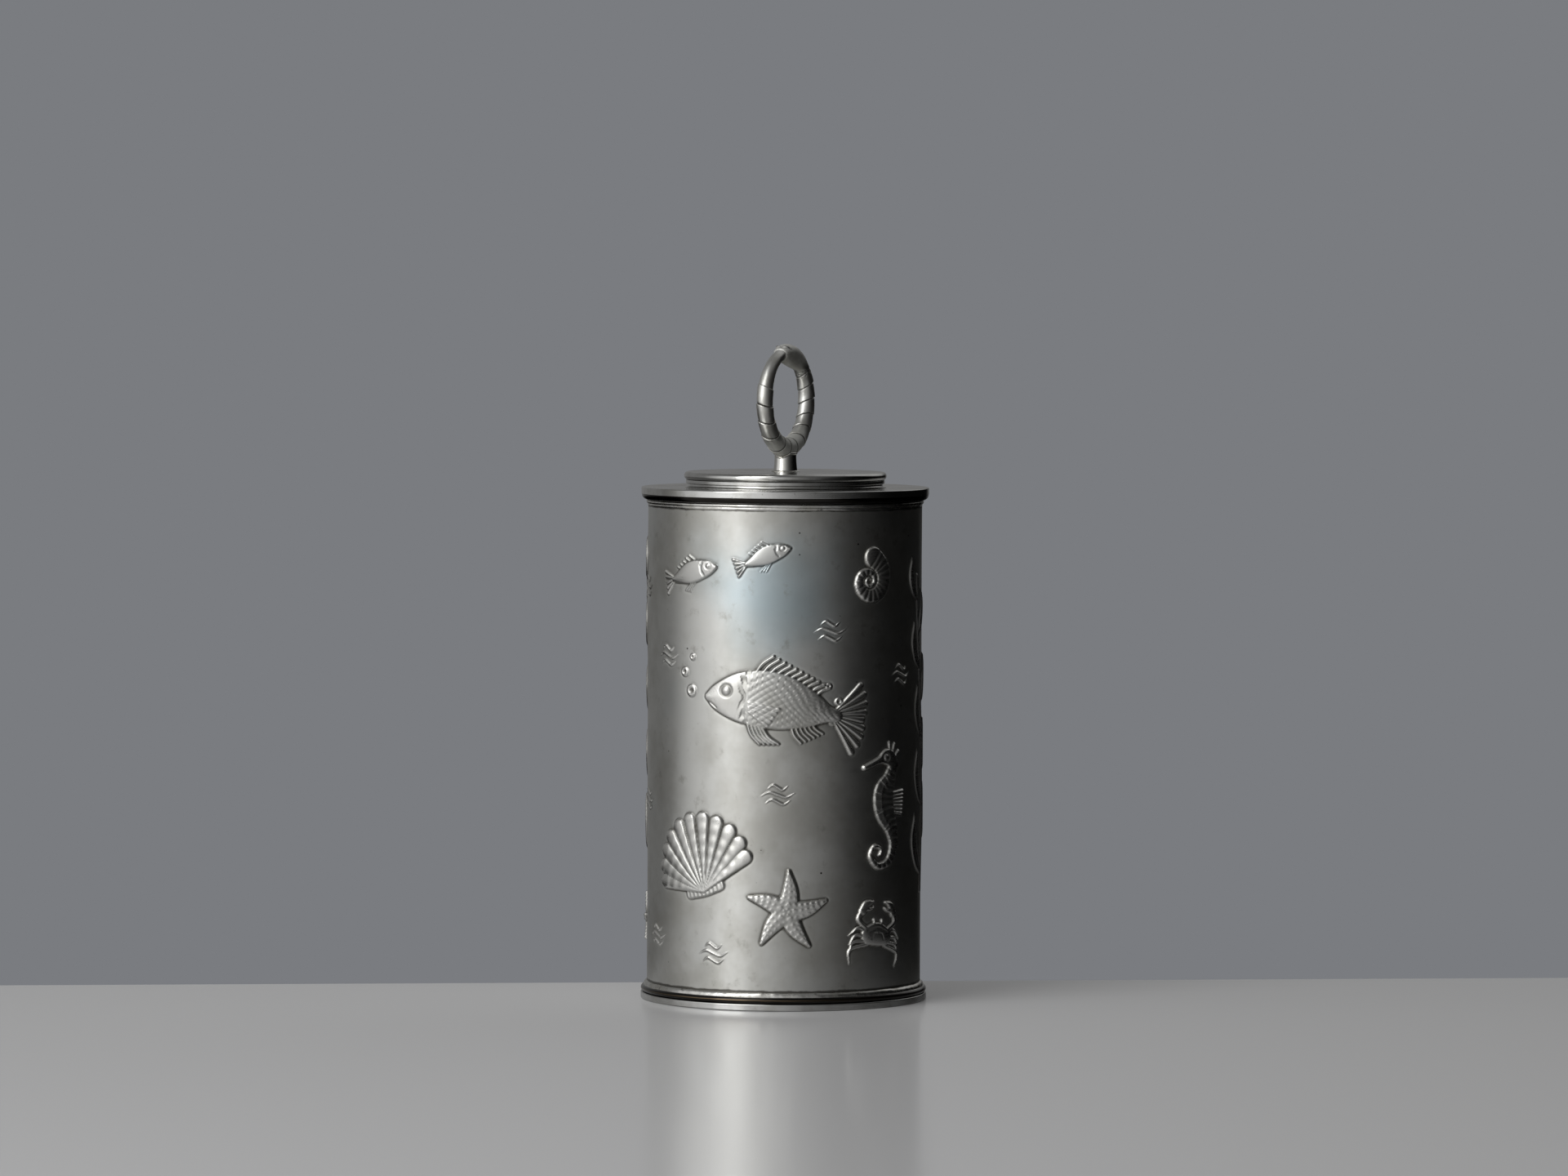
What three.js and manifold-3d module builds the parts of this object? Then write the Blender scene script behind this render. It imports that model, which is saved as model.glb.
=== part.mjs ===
// A pewter storage jar with a lift-off lid, in millimetres, +Z up, standing on z = 0.
// The wall is one flat sheet rolled to a tube and soldered up the back. A turned base plate
// and a turned top plate close it, and a soldered collar makes the mouth. The lid is a turned
// disc with a tube below it that drops into the collar, and its handle is a cast serpent that
// holds its own tail, standing on a short post.
import * as THREE from "three";
import { mergeVertices } from "three/addons/utils/BufferGeometryUtils.js";
import Module from "manifold-3d";

// Wall
const WALL_RADIUS = 45; // outside of the rolled sheet
const WALL_THICKNESS = 1.8;
const WALL_HEIGHT = 163.8;
const SEAM_WIDTH = 0.9; // solder between the sheet's two ends, at the back
const SEAM_PROUD = 0.35; // how far the solder stands into the jar

// Base
const BASE_OVERHANG = 2.05; // base plate beyond the wall
const BASE_THICKNESS = 2.25;
const BASE_EDGE_CHAMFER = 0.35;
const STANDING_RING_WIDTH = 4.2; // flat ring under the base that the jar stands on
const BASE_HOLLOW_DEPTH = 0.5; // turned away inside the standing ring
const BASE_MOULDING_HEIGHT = 2.15;
const BASE_MOULDING_REACH = 1.85; // beyond the joint gap outside the wall
const BASE_SOLDER_HEIGHT = 1.6;
const BASE_SOLDER_WIDTH = 1.1;

// Top plate
const RIM_OVERHANG = 2.3; // top plate beyond the wall
const RIM_BAND_HEIGHT = 2.3; // also the plate's thickness
const RIM_EDGE_CHAMFER = 0.4;
const RIM_SKIRT_HEIGHT = 1.85; // quarter round below the band, outside the wall
const TOP_SOLDER_HEIGHT = 1.4;
const TOP_SOLDER_WIDTH = 0.55;
const TOP_SOLDER_SEAT = 0.3; // width of solder that touches the skirt's foot

// Mouth
const MOUTH_RADIUS = 30; // inside of the collar
const COLLAR_THICKNESS = 1.3; // its neck, which passes through the top plate
const COLLAR_HEIGHT = 1.2; // its lip, above the top plate
const COLLAR_LIP_WIDTH = 1.9; // lip beyond the neck, at its foot
const COLLAR_LIP_FLARE = 1.1; // how much narrower the lip is at its top
const COLLAR_DROP = 2; // neck below the top plate
const COLLAR_CHAMFER = 0.4;

// Lid
const LID_OVERHANG = 0.1; // lid beyond the collar's foot
const LID_THICKNESS = 2.6;
const LID_STEP_INSET = 0.6; // step plate inside the lid's edge
const LID_STEP_THICKNESS = 1.2;
const BEZEL_CLEARANCE = 0.35; // between the lid's tube and the collar
const BEZEL_THICKNESS = 1.2;
const BEZEL_DEPTH = 12;
const BEZEL_CHAMFER = 0.5;

// Post
const POST_HEIGHT = 4.6; // from the lid to the underside of the serpent
const POST_TOP_RADIUS = 3.65;
const POST_WAIST_RADIUS = 3.4;
const POST_FOOT_RADIUS = 4;
const SADDLE_DEPTH = 1.5; // how far the post's top reaches up round the serpent
const POST_SOLDER_WIDTH = 0.9;
const POST_SOLDER_HEIGHT = 0.55;

// Serpent, followed from its snout, over the top and round to its tail
const LOOP_RADIUS = 15.6; // centre line
const BODY_RADIUS = 2.62; // at the front of a band
const BAND_COUNT = 12;
const BAND_STEP = 0.25; // each band flares by this much, then steps down to the next
const BELLY_SWELL = 0.5; // how much thicker the body is where it sits on the post
const BELLY_REACH = 75; // degrees from there over which it thins again
const SNOUT_ANGLE = 106; // degrees, from +X towards +Z
const FIRST_BAND = 71; // degrees back from the snout
const LAST_BAND = 300; // degrees back from the snout
const HEAD_LENGTH = 60; // degrees
const HEAD_WIDTH = 6.2;
const HEAD_CREST = 2.8; // outwards from the centre line
const JAW_LENGTH = 62; // degrees
const JAW_DEPTH = 4.5; // inwards from the centre line, at its deepest
const SNOUT_ROUND = 9; // degrees
const TAIL_TIP_RADIUS = 2;
const TAIL_TAPER = 85; // degrees over which the tail thins to its tip

// Joints and smoothness
const JOINT_GAP = 0.15; // between a ring and the wall or neck that it is soldered round
const SADDLE_GAP = 0.3; // between the serpent and its saddle
const TURNED_FACETS = 60;
const POST_FACETS = 36;
const GROOVE_SIDES = 24;
const GROOVE_STEPS = 120;
const ARC_STEPS = 2; // half the number of chords in a profile's arc
const SERPENT_SIDES = 14;
const STEPS_PER_BAND = 6;
const BAND_EDGE_SHARE = 0.03; // of a band's pitch, on either side of the step down
const HEAD_STEPS = 20;
const HEAD_CROWDING = 1.5; // above 1, the head's sections crowd towards the snout
const TAIL_STEPS = 8;

// Relief on the wall, drawn flat in millimetres: x runs to the right from the line that faces the
// photograph's camera, y up from the wall's foot
const RELIEF_HEIGHT = 0.75; // the mean height of forms that crown at about 1
const RELIEF_ROOT = 0.9; // how deep the raised forms are fused into the wall
const RELIEF_FACING = 206; // degrees round from +X to the line that x is measured from
const KELP_BLADES = 9;

// Heights and radii that follow
const wallFoot = BASE_THICKNESS;
const wallTop = wallFoot + WALL_HEIGHT;
const plateTop = wallTop + RIM_BAND_HEIGHT;
const collarTop = plateTop + COLLAR_HEIGHT;
const stepTop = collarTop + LID_STEP_THICKNESS;
const lidTop = stepTop + LID_THICKNESS;
const loopUnderside = lidTop + POST_HEIGHT;
const bellyRadius = BODY_RADIUS + BAND_STEP + BELLY_SWELL;
const loopCentre = loopUnderside + bellyRadius + LOOP_RADIUS;

const baseRadius = WALL_RADIUS + BASE_OVERHANG;
const rimRadius = WALL_RADIUS + RIM_OVERHANG;
const ringBore = WALL_RADIUS + JOINT_GAP;
const neckRadius = MOUTH_RADIUS + COLLAR_THICKNESS;
const collarFootRadius = neckRadius + COLLAR_LIP_WIDTH;
const lidRadius = collarFootRadius + LID_OVERHANG;
const bezelRadius = MOUTH_RADIUS - BEZEL_CLEARANCE;

const wasm = await Module();
wasm.setup();

// Pewter, as each kind of piece is finished
const finishes = {
  sheet: { color: 0x9a9a94, metalness: 1, roughness: 0.34 },
  turned: { color: 0x9a9a94, metalness: 1, roughness: 0.26 },
  cast: { color: 0x8e8d86, metalness: 1, roughness: 0.4 },
  solder: { color: 0xb0afa8, metalness: 1, roughness: 0.3 },
};

function piece(name, geometry, finish) {
  const mesh = new THREE.Mesh(geometry, new THREE.MeshStandardMaterial(finish));
  mesh.name = name;
  return mesh;
}

// Revolves a profile, given as (radius, height) and drawn anticlockwise, about +Z.
function turned(profile, facets = TURNED_FACETS) {
  return new THREE.LatheGeometry(profile.getPoints(ARC_STEPS), facets).rotateX(Math.PI / 2);
}

function solidOf(geometry) {
  const bare = geometry.clone().deleteAttribute("normal").deleteAttribute("uv");
  const merged = mergeVertices(bare);
  return new wasm.Manifold(
    new wasm.Mesh({
      numProp: 3,
      vertProperties: merged.attributes.position.array,
      triVerts: new Uint32Array(merged.index.array),
    }),
  );
}

function geometryOf(solid) {
  const { vertProperties, triVerts } = solid.getMesh();
  const geometry = new THREE.BufferGeometry();
  geometry.setAttribute("position", new THREE.BufferAttribute(vertProperties, 3));
  geometry.setIndex(new THREE.BufferAttribute(triVerts, 1));
  const faceted = geometry.toNonIndexed();
  faceted.computeVertexNormals();
  return faceted;
}

// A stretch of tube wall between two angles, standing on height z.
function tubeSector(inner, outer, from, to, height, z, chords) {
  const outline = new THREE.Shape();
  outline.absarc(0, 0, outer, from, to, false);
  outline.absarc(0, 0, inner, to, from, true);
  const options = { depth: height, bevelEnabled: false, curveSegments: chords };
  return new THREE.ExtrudeGeometry(outline, options).translate(0, 0, z);
}

// A closed outline round a line. Each point of the line is x, y and the half width there.
function ribbon(points) {
  const left = [];
  const right = [];
  for (let i = 0; i < points.length; i++) {
    const [x, y, half] = points[i];
    const before = points[Math.max(i - 1, 0)];
    const after = points[Math.min(i + 1, points.length - 1)];
    const run = Math.hypot(after[0] - before[0], after[1] - before[1]);
    const sideways = (half * (before[1] - after[1])) / run;
    const upward = (half * (after[0] - before[0])) / run;
    left.push([x + sideways, y + upward]);
    right.unshift([x - sideways, y - upward]);
  }
  return [...left, ...right];
}

const fish = [
  [
    [-25, -1.6],
    [-20.5, 3.2],
    [-9, 8.6],
    [-3.6, 15.8],
    [5, 14.4],
    [17, 8.4],
    [13.5, 4.4],
    [19, 1.4],
    [27.2, 11.2],
    [30.4, -0.4],
    [27.2, -12],
    [18.5, -2.4],
    [13, -3.4],
    [17.2, -6.4],
    [9.6, -11.2],
    [4.6, -6.8],
    [-1, -8],
    [3.6, -12.4],
    [-3.6, -13.6],
    [-9, -7],
    [-19, -5.2],
  ],
];

const littleFish = [
  [
    [-11, 0],
    [-6, 3.6],
    [-3.2, 3.9],
    [0, 6.8],
    [6.8, 3.9],
    [4.6, 2],
    [9, 0.7],
    [13.9, 4.1],
    [13.9, -4.3],
    [9, -0.9],
    [3, -3],
    [-6, -2.8],
  ],
];

const scallop = [
  [
    [7.6, -12.4],
    [8, -9.2],
    [19.8, -2.4],
    [19.4, 6.4],
    [10, 14],
    [0, 16],
    [-10, 14],
    [-19.4, 6.4],
    [-19.8, -2.4],
    [-8, -9.2],
    [-7.6, -12.4],
  ],
];

const starfish = [
  Array.from({ length: 10 }, (_, i) => {
    const reach = i % 2 ? 4.4 : 14.2;
    const way = (i * Math.PI) / 5 + (i % 2 ? 0 : 0.08);
    return [reach * Math.cos(way), reach * Math.sin(way)];
  }),
];

const seahorse = [
  ribbon([
    [2.2, 15.6, 2.3],
    [-0.8, 5, 4.6],
    [2.6, -5.4, 3.2],
    [3, -14.4, 1.9],
    [-2.8, -17.2, 1.5],
    [-5.9, -13.6, 1.3],
    [-3.4, -10.6, 1],
  ]),
  ribbon([
    [4, 15.6, 1.2],
    [0, 18, 3],
    [-4.4, 17, 1.5],
    [-11, 14.4, 1.1],
  ]),
  [[2.4, 7.2], [8.8, 8.2], [8.8, -0.4], [3.2, 0]],
];

const coiledShell = [
  Array.from({ length: 9 }, (_, i) => {
    const turn = 2.15 * 2 * Math.PI - (i * 2 * Math.PI) / 9;
    const reach = 1.15 * Math.exp(0.165 * turn) * (i ? 1.47 : 1.3);
    return [reach * Math.cos(turn), reach * Math.sin(turn)];
  }),
];

const crab = [
  [[-9.2, 0.4], [-4, 6], [4, 6], [9.2, 0.4], [4, -4.6], [-4, -4.6]],
];
for (const side of [-1, 1]) {
  crab.push(
    ribbon([
      [side * 5.4, 2.6, 1.3],
      [side * 10.8, 8, 1.8],
      [side * 8, 13.2, 2.4],
      [side * 3.4, 15.4, 0.8],
    ]),
  );
}

function kelpStem(t) {
  return [5 * Math.sin(5.2 * t) * (0.4 + 0.6 * t), -52 + 104 * t];
}

const kelp = [
  ribbon(Array.from({ length: 6 }, (_, i) => [...kelpStem(i / 5), 1 - i / 10])),
];
for (let i = 0; i < KELP_BLADES; i++) {
  const t = 0.05 + (0.87 * i) / (KELP_BLADES - 1);
  const side = i % 2 ? 1 : -1;
  const size = 1 - 0.35 * t;
  const [x, y] = kelpStem(t);
  kelp.push([
    [x, y],
    [x + side * 10 * size, y + 10 * size],
    [x + side * 7 * size, y + 21 * size],
  ]);
}

// Motif, place of its centre, turn in degrees, size, and -1 where it is mirrored
const placings = [
  [fish, -3, 97, -9, 1.02, 1],
  [littleFish, -33, 139, 14, 0.98, -1],
  [littleFish, -6, 145, 20, 0.8, -1],
  [coiledShell, 29, 137, 20, 0.72, 1],
  [scallop, -30, 46, 16, 0.98, 1],
  [seahorse, 37, 61, -4, 1, 1],
  [starfish, 1, 30, 8, 0.98, 1],
  [crab, 33, 21, -6, 0.72, 1],
  [kelp, 62, 86, 0, 1, 1],
  [kelp, -79, 92, 0, 1, -1],
  [fish, 114, 104, 8, 1, -1],
  [littleFish, 96, 144, -12, 0.9, 1],
  [littleFish, 126, 142, 10, 0.85, 1],
  [starfish, 153, 133, 30, 0.8, 1],
  [seahorse, 150, 78, 4, 1, -1],
  [scallop, 92, 60, -14, 0.85, 1],
  [crab, 118, 30, 0, 0.9, 1],
  [coiledShell, 152, 28, 60, 0.85, -1],
  [kelp, 179, 80, 0, 0.9, 1],
  [starfish, -78, 24, 0, 0.6, 1],
];

// A placed outline as a wedge that runs out through the wall along its radii.
function wedge(outline, [, across, up, turn, size, flip]) {
  const angle = THREE.MathUtils.degToRad(turn);
  const placed = outline.map(([x, y]) => {
    const flipped = x * flip;
    return new THREE.Vector2(
      across + size * (flipped * Math.cos(angle) - y * Math.sin(angle)),
      up + size * (flipped * Math.sin(angle) + y * Math.cos(angle)),
    );
  });
  const options = { depth: 1, bevelEnabled: false };
  const geometry = new THREE.ExtrudeGeometry(new THREE.Shape(placed), options);
  const at = geometry.attributes.position;
  for (let i = 0; i < at.count; i++) {
    const round = THREE.MathUtils.degToRad(RELIEF_FACING) + at.getX(i) / WALL_RADIUS;
    const radius = at.getZ(i) ? WALL_RADIUS * 1.3 : WALL_RADIUS * 0.9;
    const height = wallFoot + at.getY(i);
    at.setXYZ(i, radius * Math.cos(round), radius * Math.sin(round), height);
  }
  return solidOf(geometry);
}

// The rolled sheet, with its relief fused to it.
function wall() {
  const back = Math.PI / 2;
  const half = SEAM_WIDTH / 2 / WALL_RADIUS;
  const from = back + half;
  const to = back - half + 2 * Math.PI;
  const chords = TURNED_FACETS / 2;
  const sheet = (inner, outer) =>
    solidOf(tubeSector(inner, outer, from, to, WALL_HEIGHT, wallFoot, chords));
  let motifs = null;
  for (const placing of placings) {
    for (const outline of placing[0]) {
      const next = wedge(outline, placing);
      motifs = motifs ? motifs.add(next) : next;
    }
  }
  const raised = motifs.intersect(sheet(WALL_RADIUS - RELIEF_ROOT, WALL_RADIUS + RELIEF_HEIGHT));
  return geometryOf(sheet(WALL_RADIUS - WALL_THICKNESS, WALL_RADIUS).add(raised));
}

function wallSeam() {
  const inner = WALL_RADIUS - WALL_THICKNESS - SEAM_PROUD;
  const back = Math.PI / 2;
  const half = SEAM_WIDTH / 2 / WALL_RADIUS;
  return tubeSector(inner, WALL_RADIUS, back - half, back + half, WALL_HEIGHT, wallFoot, 1);
}

function basePlate() {
  const hollowRadius = WALL_RADIUS - STANDING_RING_WIDTH;
  const chamfer = BASE_EDGE_CHAMFER;
  const p = new THREE.Path();
  p.moveTo(0, BASE_HOLLOW_DEPTH);
  p.lineTo(hollowRadius - BASE_HOLLOW_DEPTH, BASE_HOLLOW_DEPTH);
  p.lineTo(hollowRadius, 0);
  p.lineTo(baseRadius - chamfer, 0);
  p.lineTo(baseRadius, chamfer);
  p.lineTo(baseRadius, BASE_THICKNESS - chamfer);
  p.lineTo(baseRadius - chamfer, BASE_THICKNESS);
  p.lineTo(0, BASE_THICKNESS);
  return turned(p);
}

// Half-round wire round the wall's foot, lying on the base plate.
function baseMoulding() {
  const round = BASE_MOULDING_HEIGHT / 2;
  const centre = ringBore + BASE_MOULDING_REACH - round;
  const p = new THREE.Path();
  p.moveTo(ringBore, BASE_THICKNESS);
  p.lineTo(centre, BASE_THICKNESS);
  p.absarc(centre, BASE_THICKNESS + round, round, -Math.PI / 2, Math.PI / 2, false);
  p.lineTo(ringBore, BASE_THICKNESS + BASE_MOULDING_HEIGHT);
  p.closePath();
  return turned(p);
}

function baseSolder() {
  const foot = BASE_THICKNESS + BASE_MOULDING_HEIGHT;
  const p = new THREE.Path();
  p.moveTo(ringBore, foot);
  p.lineTo(ringBore + BASE_SOLDER_WIDTH, foot);
  const out = ringBore + BASE_SOLDER_WIDTH;
  p.quadraticCurveTo(out, foot + BASE_SOLDER_HEIGHT, ringBore, foot + BASE_SOLDER_HEIGHT);
  p.closePath();
  return turned(p);
}

function topPlate() {
  const skirtFoot = wallTop - RIM_SKIRT_HEIGHT;
  const skirtCentre = rimRadius - RIM_SKIRT_HEIGHT;
  const p = new THREE.Path();
  p.moveTo(neckRadius + JOINT_GAP, wallTop);
  p.lineTo(ringBore, wallTop);
  p.lineTo(ringBore, skirtFoot);
  p.absarc(skirtCentre, wallTop, RIM_SKIRT_HEIGHT, -Math.PI / 2, 0, false);
  p.lineTo(rimRadius, plateTop - RIM_EDGE_CHAMFER);
  p.lineTo(rimRadius - RIM_EDGE_CHAMFER, plateTop);
  p.lineTo(neckRadius + JOINT_GAP, plateTop);
  p.closePath();
  return turned(p);
}

function topSolder() {
  const top = wallTop - RIM_SKIRT_HEIGHT;
  const middle = top - TOP_SOLDER_HEIGHT / 2;
  const out = ringBore + TOP_SOLDER_WIDTH;
  const p = new THREE.Path();
  p.moveTo(ringBore, top - TOP_SOLDER_HEIGHT);
  p.quadraticCurveTo(out, top - TOP_SOLDER_HEIGHT, out, middle);
  p.quadraticCurveTo(out, top, ringBore + TOP_SOLDER_SEAT, top);
  p.lineTo(ringBore, top);
  p.closePath();
  return turned(p);
}

function collar() {
  const neckFoot = wallTop - COLLAR_DROP;
  const p = new THREE.Path();
  p.moveTo(MOUTH_RADIUS, neckFoot);
  p.lineTo(neckRadius, neckFoot);
  p.lineTo(neckRadius, plateTop);
  p.lineTo(collarFootRadius, plateTop);
  p.quadraticCurveTo(
    collarFootRadius - COLLAR_LIP_FLARE,
    plateTop,
    collarFootRadius - COLLAR_LIP_FLARE,
    collarTop,
  );
  p.lineTo(MOUTH_RADIUS + COLLAR_CHAMFER, collarTop);
  p.lineTo(MOUTH_RADIUS, collarTop - COLLAR_CHAMFER);
  p.closePath();
  return turned(p);
}

function lidStep() {
  const radius = lidRadius - LID_STEP_INSET;
  const p = new THREE.Path();
  p.moveTo(0, collarTop);
  p.lineTo(radius, collarTop);
  p.lineTo(radius, stepTop);
  p.lineTo(0, stepTop);
  return turned(p);
}

function lidDisc() {
  const round = LID_THICKNESS / 2;
  const p = new THREE.Path();
  p.moveTo(0, stepTop);
  p.lineTo(lidRadius - round, stepTop);
  p.absarc(lidRadius - round, stepTop + round, round, -Math.PI / 2, Math.PI / 2, false);
  p.lineTo(0, lidTop);
  return turned(p);
}

// The tube that drops into the collar and keeps the lid from sliding off.
function lidBezel() {
  const foot = collarTop - BEZEL_DEPTH;
  const inner = bezelRadius - BEZEL_THICKNESS;
  const p = new THREE.Path();
  p.moveTo(inner, foot);
  p.lineTo(bezelRadius - BEZEL_CHAMFER, foot);
  p.lineTo(bezelRadius, foot + BEZEL_CHAMFER);
  p.lineTo(bezelRadius, collarTop);
  p.lineTo(inner, collarTop);
  p.closePath();
  return turned(p);
}

// The post is waisted, and its top is hollowed to a saddle that takes the serpent.
function finialPost() {
  const top = loopUnderside + SADDLE_DEPTH;
  const waist = lidTop + POST_HEIGHT / 2;
  const p = new THREE.Path();
  p.moveTo(0, lidTop);
  p.lineTo(POST_FOOT_RADIUS, lidTop);
  p.quadraticCurveTo(POST_WAIST_RADIUS, lidTop + POST_HEIGHT / 4, POST_WAIST_RADIUS, waist);
  p.quadraticCurveTo(POST_WAIST_RADIUS, loopUnderside, POST_TOP_RADIUS, top);
  p.lineTo(0, top);
  const groove = new THREE.TorusGeometry(
    LOOP_RADIUS,
    bellyRadius + SADDLE_GAP,
    GROOVE_SIDES,
    GROOVE_STEPS,
  );
  groove.rotateX(Math.PI / 2).translate(0, 0, loopCentre);
  return geometryOf(solidOf(turned(p, POST_FACETS)).subtract(solidOf(groove)));
}

function postSolder() {
  const bore = POST_FOOT_RADIUS + JOINT_GAP;
  const p = new THREE.Path();
  p.moveTo(bore, lidTop);
  p.lineTo(bore + POST_SOLDER_WIDTH, lidTop);
  p.absellipse(bore, lidTop, POST_SOLDER_WIDTH, POST_SOLDER_HEIGHT, 0, Math.PI / 2, false);
  p.closePath();
  return turned(p, POST_FACETS);
}

const smooth = (t) => THREE.MathUtils.smoothstep(t, 0, 1);

// How far the serpent's section reaches out, in and to the sides at an angle back from its snout.
function serpentSection(back) {
  const mouth = Math.min(back / SNOUT_ROUND, 1);
  const lips = Math.sqrt(1 - (1 - mouth) ** 2);
  const headSwell = Math.sin(Math.PI * Math.sqrt(Math.min(back / HEAD_LENGTH, 1)));
  const jawSwell = Math.sin(Math.PI * Math.min(back / JAW_LENGTH, 1));
  const taper = smooth((back - (360 - TAIL_TAPER)) / TAIL_TAPER);
  const belly = smooth(1 - Math.abs(back - (SNOUT_ANGLE + 90)) / BELLY_REACH);
  const along = (back - FIRST_BAND) / ((LAST_BAND - FIRST_BAND) / BAND_COUNT);
  const flare = along > 0 && along < BAND_COUNT ? BAND_STEP * (along % 1) : 0;
  const trunk = THREE.MathUtils.lerp(BODY_RADIUS, TAIL_TIP_RADIUS, taper);
  const body = trunk + BELLY_SWELL * belly + flare;
  const reach = (headReach, swell) => {
    const full = body + (headReach - BODY_RADIUS) * swell;
    return THREE.MathUtils.lerp(TAIL_TIP_RADIUS, full, lips);
  };
  return {
    outward: reach(HEAD_CREST, headSwell),
    inward: reach(JAW_DEPTH, jawSwell),
    aside: reach(HEAD_WIDTH / 2, headSwell),
  };
}

// Angles back from the snout at which the serpent gets a section. A band ends in a short step.
function serpentStations() {
  const stations = [];
  for (let i = 0; i < HEAD_STEPS; i++) {
    stations.push(FIRST_BAND * (i / HEAD_STEPS) ** HEAD_CROWDING);
  }
  const pitch = (LAST_BAND - FIRST_BAND) / BAND_COUNT;
  for (let band = 0; band < BAND_COUNT; band++) {
    for (let i = 0; i < STEPS_PER_BAND; i++) {
      const along = i / (STEPS_PER_BAND - 1);
      const share = THREE.MathUtils.lerp(BAND_EDGE_SHARE, 1 - BAND_EDGE_SHARE, along);
      stations.push(FIRST_BAND + (band + share) * pitch);
    }
  }
  const tailPitch = (360 - LAST_BAND) / TAIL_STEPS;
  for (let i = 0; i < TAIL_STEPS; i++) {
    stations.push(LAST_BAND + (i + 0.5) * tailPitch);
  }
  return stations;
}

// A closed loop of oval sections. The last, the tail, runs into the first, the mouth.
function serpentRing() {
  const stations = serpentStations();
  const positions = [];
  for (const back of stations) {
    const angle = THREE.MathUtils.degToRad(SNOUT_ANGLE - back);
    const { outward, inward, aside } = serpentSection(back);
    for (let side = 0; side < SERPENT_SIDES; side++) {
      const turn = (2 * Math.PI * side) / SERPENT_SIDES;
      const deep = (Math.cos(turn) > 0 ? outward : inward) * Math.cos(turn);
      const reach = LOOP_RADIUS + deep;
      positions.push(reach * Math.cos(angle), aside * Math.sin(turn), reach * Math.sin(angle));
    }
  }
  const index = [];
  for (let i = 0; i < stations.length; i++) {
    const next = (i + 1) % stations.length;
    for (let side = 0; side < SERPENT_SIDES; side++) {
      const over = (side + 1) % SERPENT_SIDES;
      const a = i * SERPENT_SIDES + side;
      const b = next * SERPENT_SIDES + side;
      const c = next * SERPENT_SIDES + over;
      const d = i * SERPENT_SIDES + over;
      index.push(a, b, c, a, c, d);
    }
  }
  const geometry = new THREE.BufferGeometry();
  geometry.setAttribute("position", new THREE.Float32BufferAttribute(positions, 3));
  geometry.setIndex(index);
  geometry.computeVertexNormals();
  return geometry.translate(0, 0, loopCentre);
}

const jar = new THREE.Group();
jar.add(
  piece("base_plate", basePlate(), finishes.turned),
  piece("base_moulding", baseMoulding(), finishes.turned),
  piece("base_solder", baseSolder(), finishes.solder),
  piece("wall", wall(), finishes.sheet),
  piece("wall_seam", wallSeam(), finishes.solder),
  piece("top_plate", topPlate(), finishes.turned),
  piece("top_solder", topSolder(), finishes.solder),
  piece("collar", collar(), finishes.turned),
);

const lid = new THREE.Group();
lid.add(
  piece("lid_step", lidStep(), finishes.turned),
  piece("lid_disc", lidDisc(), finishes.turned),
  piece("lid_bezel", lidBezel(), finishes.turned),
  piece("finial_post", finialPost(), finishes.cast),
  piece("post_solder", postSolder(), finishes.solder),
  piece("serpent_ring", serpentRing(), finishes.cast),
);

const lidded = new THREE.Group();
lidded.add(jar, lid);

export default lidded;
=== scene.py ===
"""A round pewter storage jar with a lift-off lid and a serpent for a handle, in a plain studio.

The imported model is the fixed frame. Each piece of the jar is made again here at its place in that
frame, with its fine form and its finish, and rides on its body.
"""
import math

import bmesh
import bpy
import numpy as np
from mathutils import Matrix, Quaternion, Vector


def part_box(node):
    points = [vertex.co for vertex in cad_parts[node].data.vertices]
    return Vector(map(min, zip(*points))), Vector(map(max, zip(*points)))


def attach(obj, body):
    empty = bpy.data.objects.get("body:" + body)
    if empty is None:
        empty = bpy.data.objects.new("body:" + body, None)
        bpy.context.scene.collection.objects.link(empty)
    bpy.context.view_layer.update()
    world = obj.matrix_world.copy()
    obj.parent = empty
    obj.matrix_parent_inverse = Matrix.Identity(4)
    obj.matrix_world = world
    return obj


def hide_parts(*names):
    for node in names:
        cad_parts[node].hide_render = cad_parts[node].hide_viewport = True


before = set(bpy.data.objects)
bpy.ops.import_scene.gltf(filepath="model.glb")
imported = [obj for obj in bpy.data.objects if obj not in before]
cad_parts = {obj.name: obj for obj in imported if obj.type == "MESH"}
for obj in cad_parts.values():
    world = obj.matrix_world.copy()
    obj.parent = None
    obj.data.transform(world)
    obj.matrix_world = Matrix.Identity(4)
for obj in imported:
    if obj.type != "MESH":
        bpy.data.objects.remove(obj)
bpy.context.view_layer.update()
scene = bpy.context.scene
scene.view_settings.view_transform = "Standard"

# Camera. It stands about two and a half metres off with a long lens, above the handle, and looks
# slightly down. It leans a hair, as the jar does in the photograph.
VIEW_AZIMUTH = math.radians(-64)
CAMERA_DISTANCE = 2.461
CAMERA_HEIGHT = 0.253
CAMERA_ASIDE = -0.00031
CAMERA_PITCH = math.radians(2.744)
CAMERA_ROLL = math.radians(0.229)
SENSOR_WIDTH = 36
LENS_LENGTH = 171.92
towards_camera = Vector((math.sin(VIEW_AZIMUTH), -math.cos(VIEW_AZIMUTH), 0))
picture_right = Vector((-towards_camera.y, towards_camera.x, 0))


def new_object(name, data):
    """An object in the scene that holds the data."""
    made = bpy.data.objects.new(name, data)
    scene.collection.objects.link(made)
    return made


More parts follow.
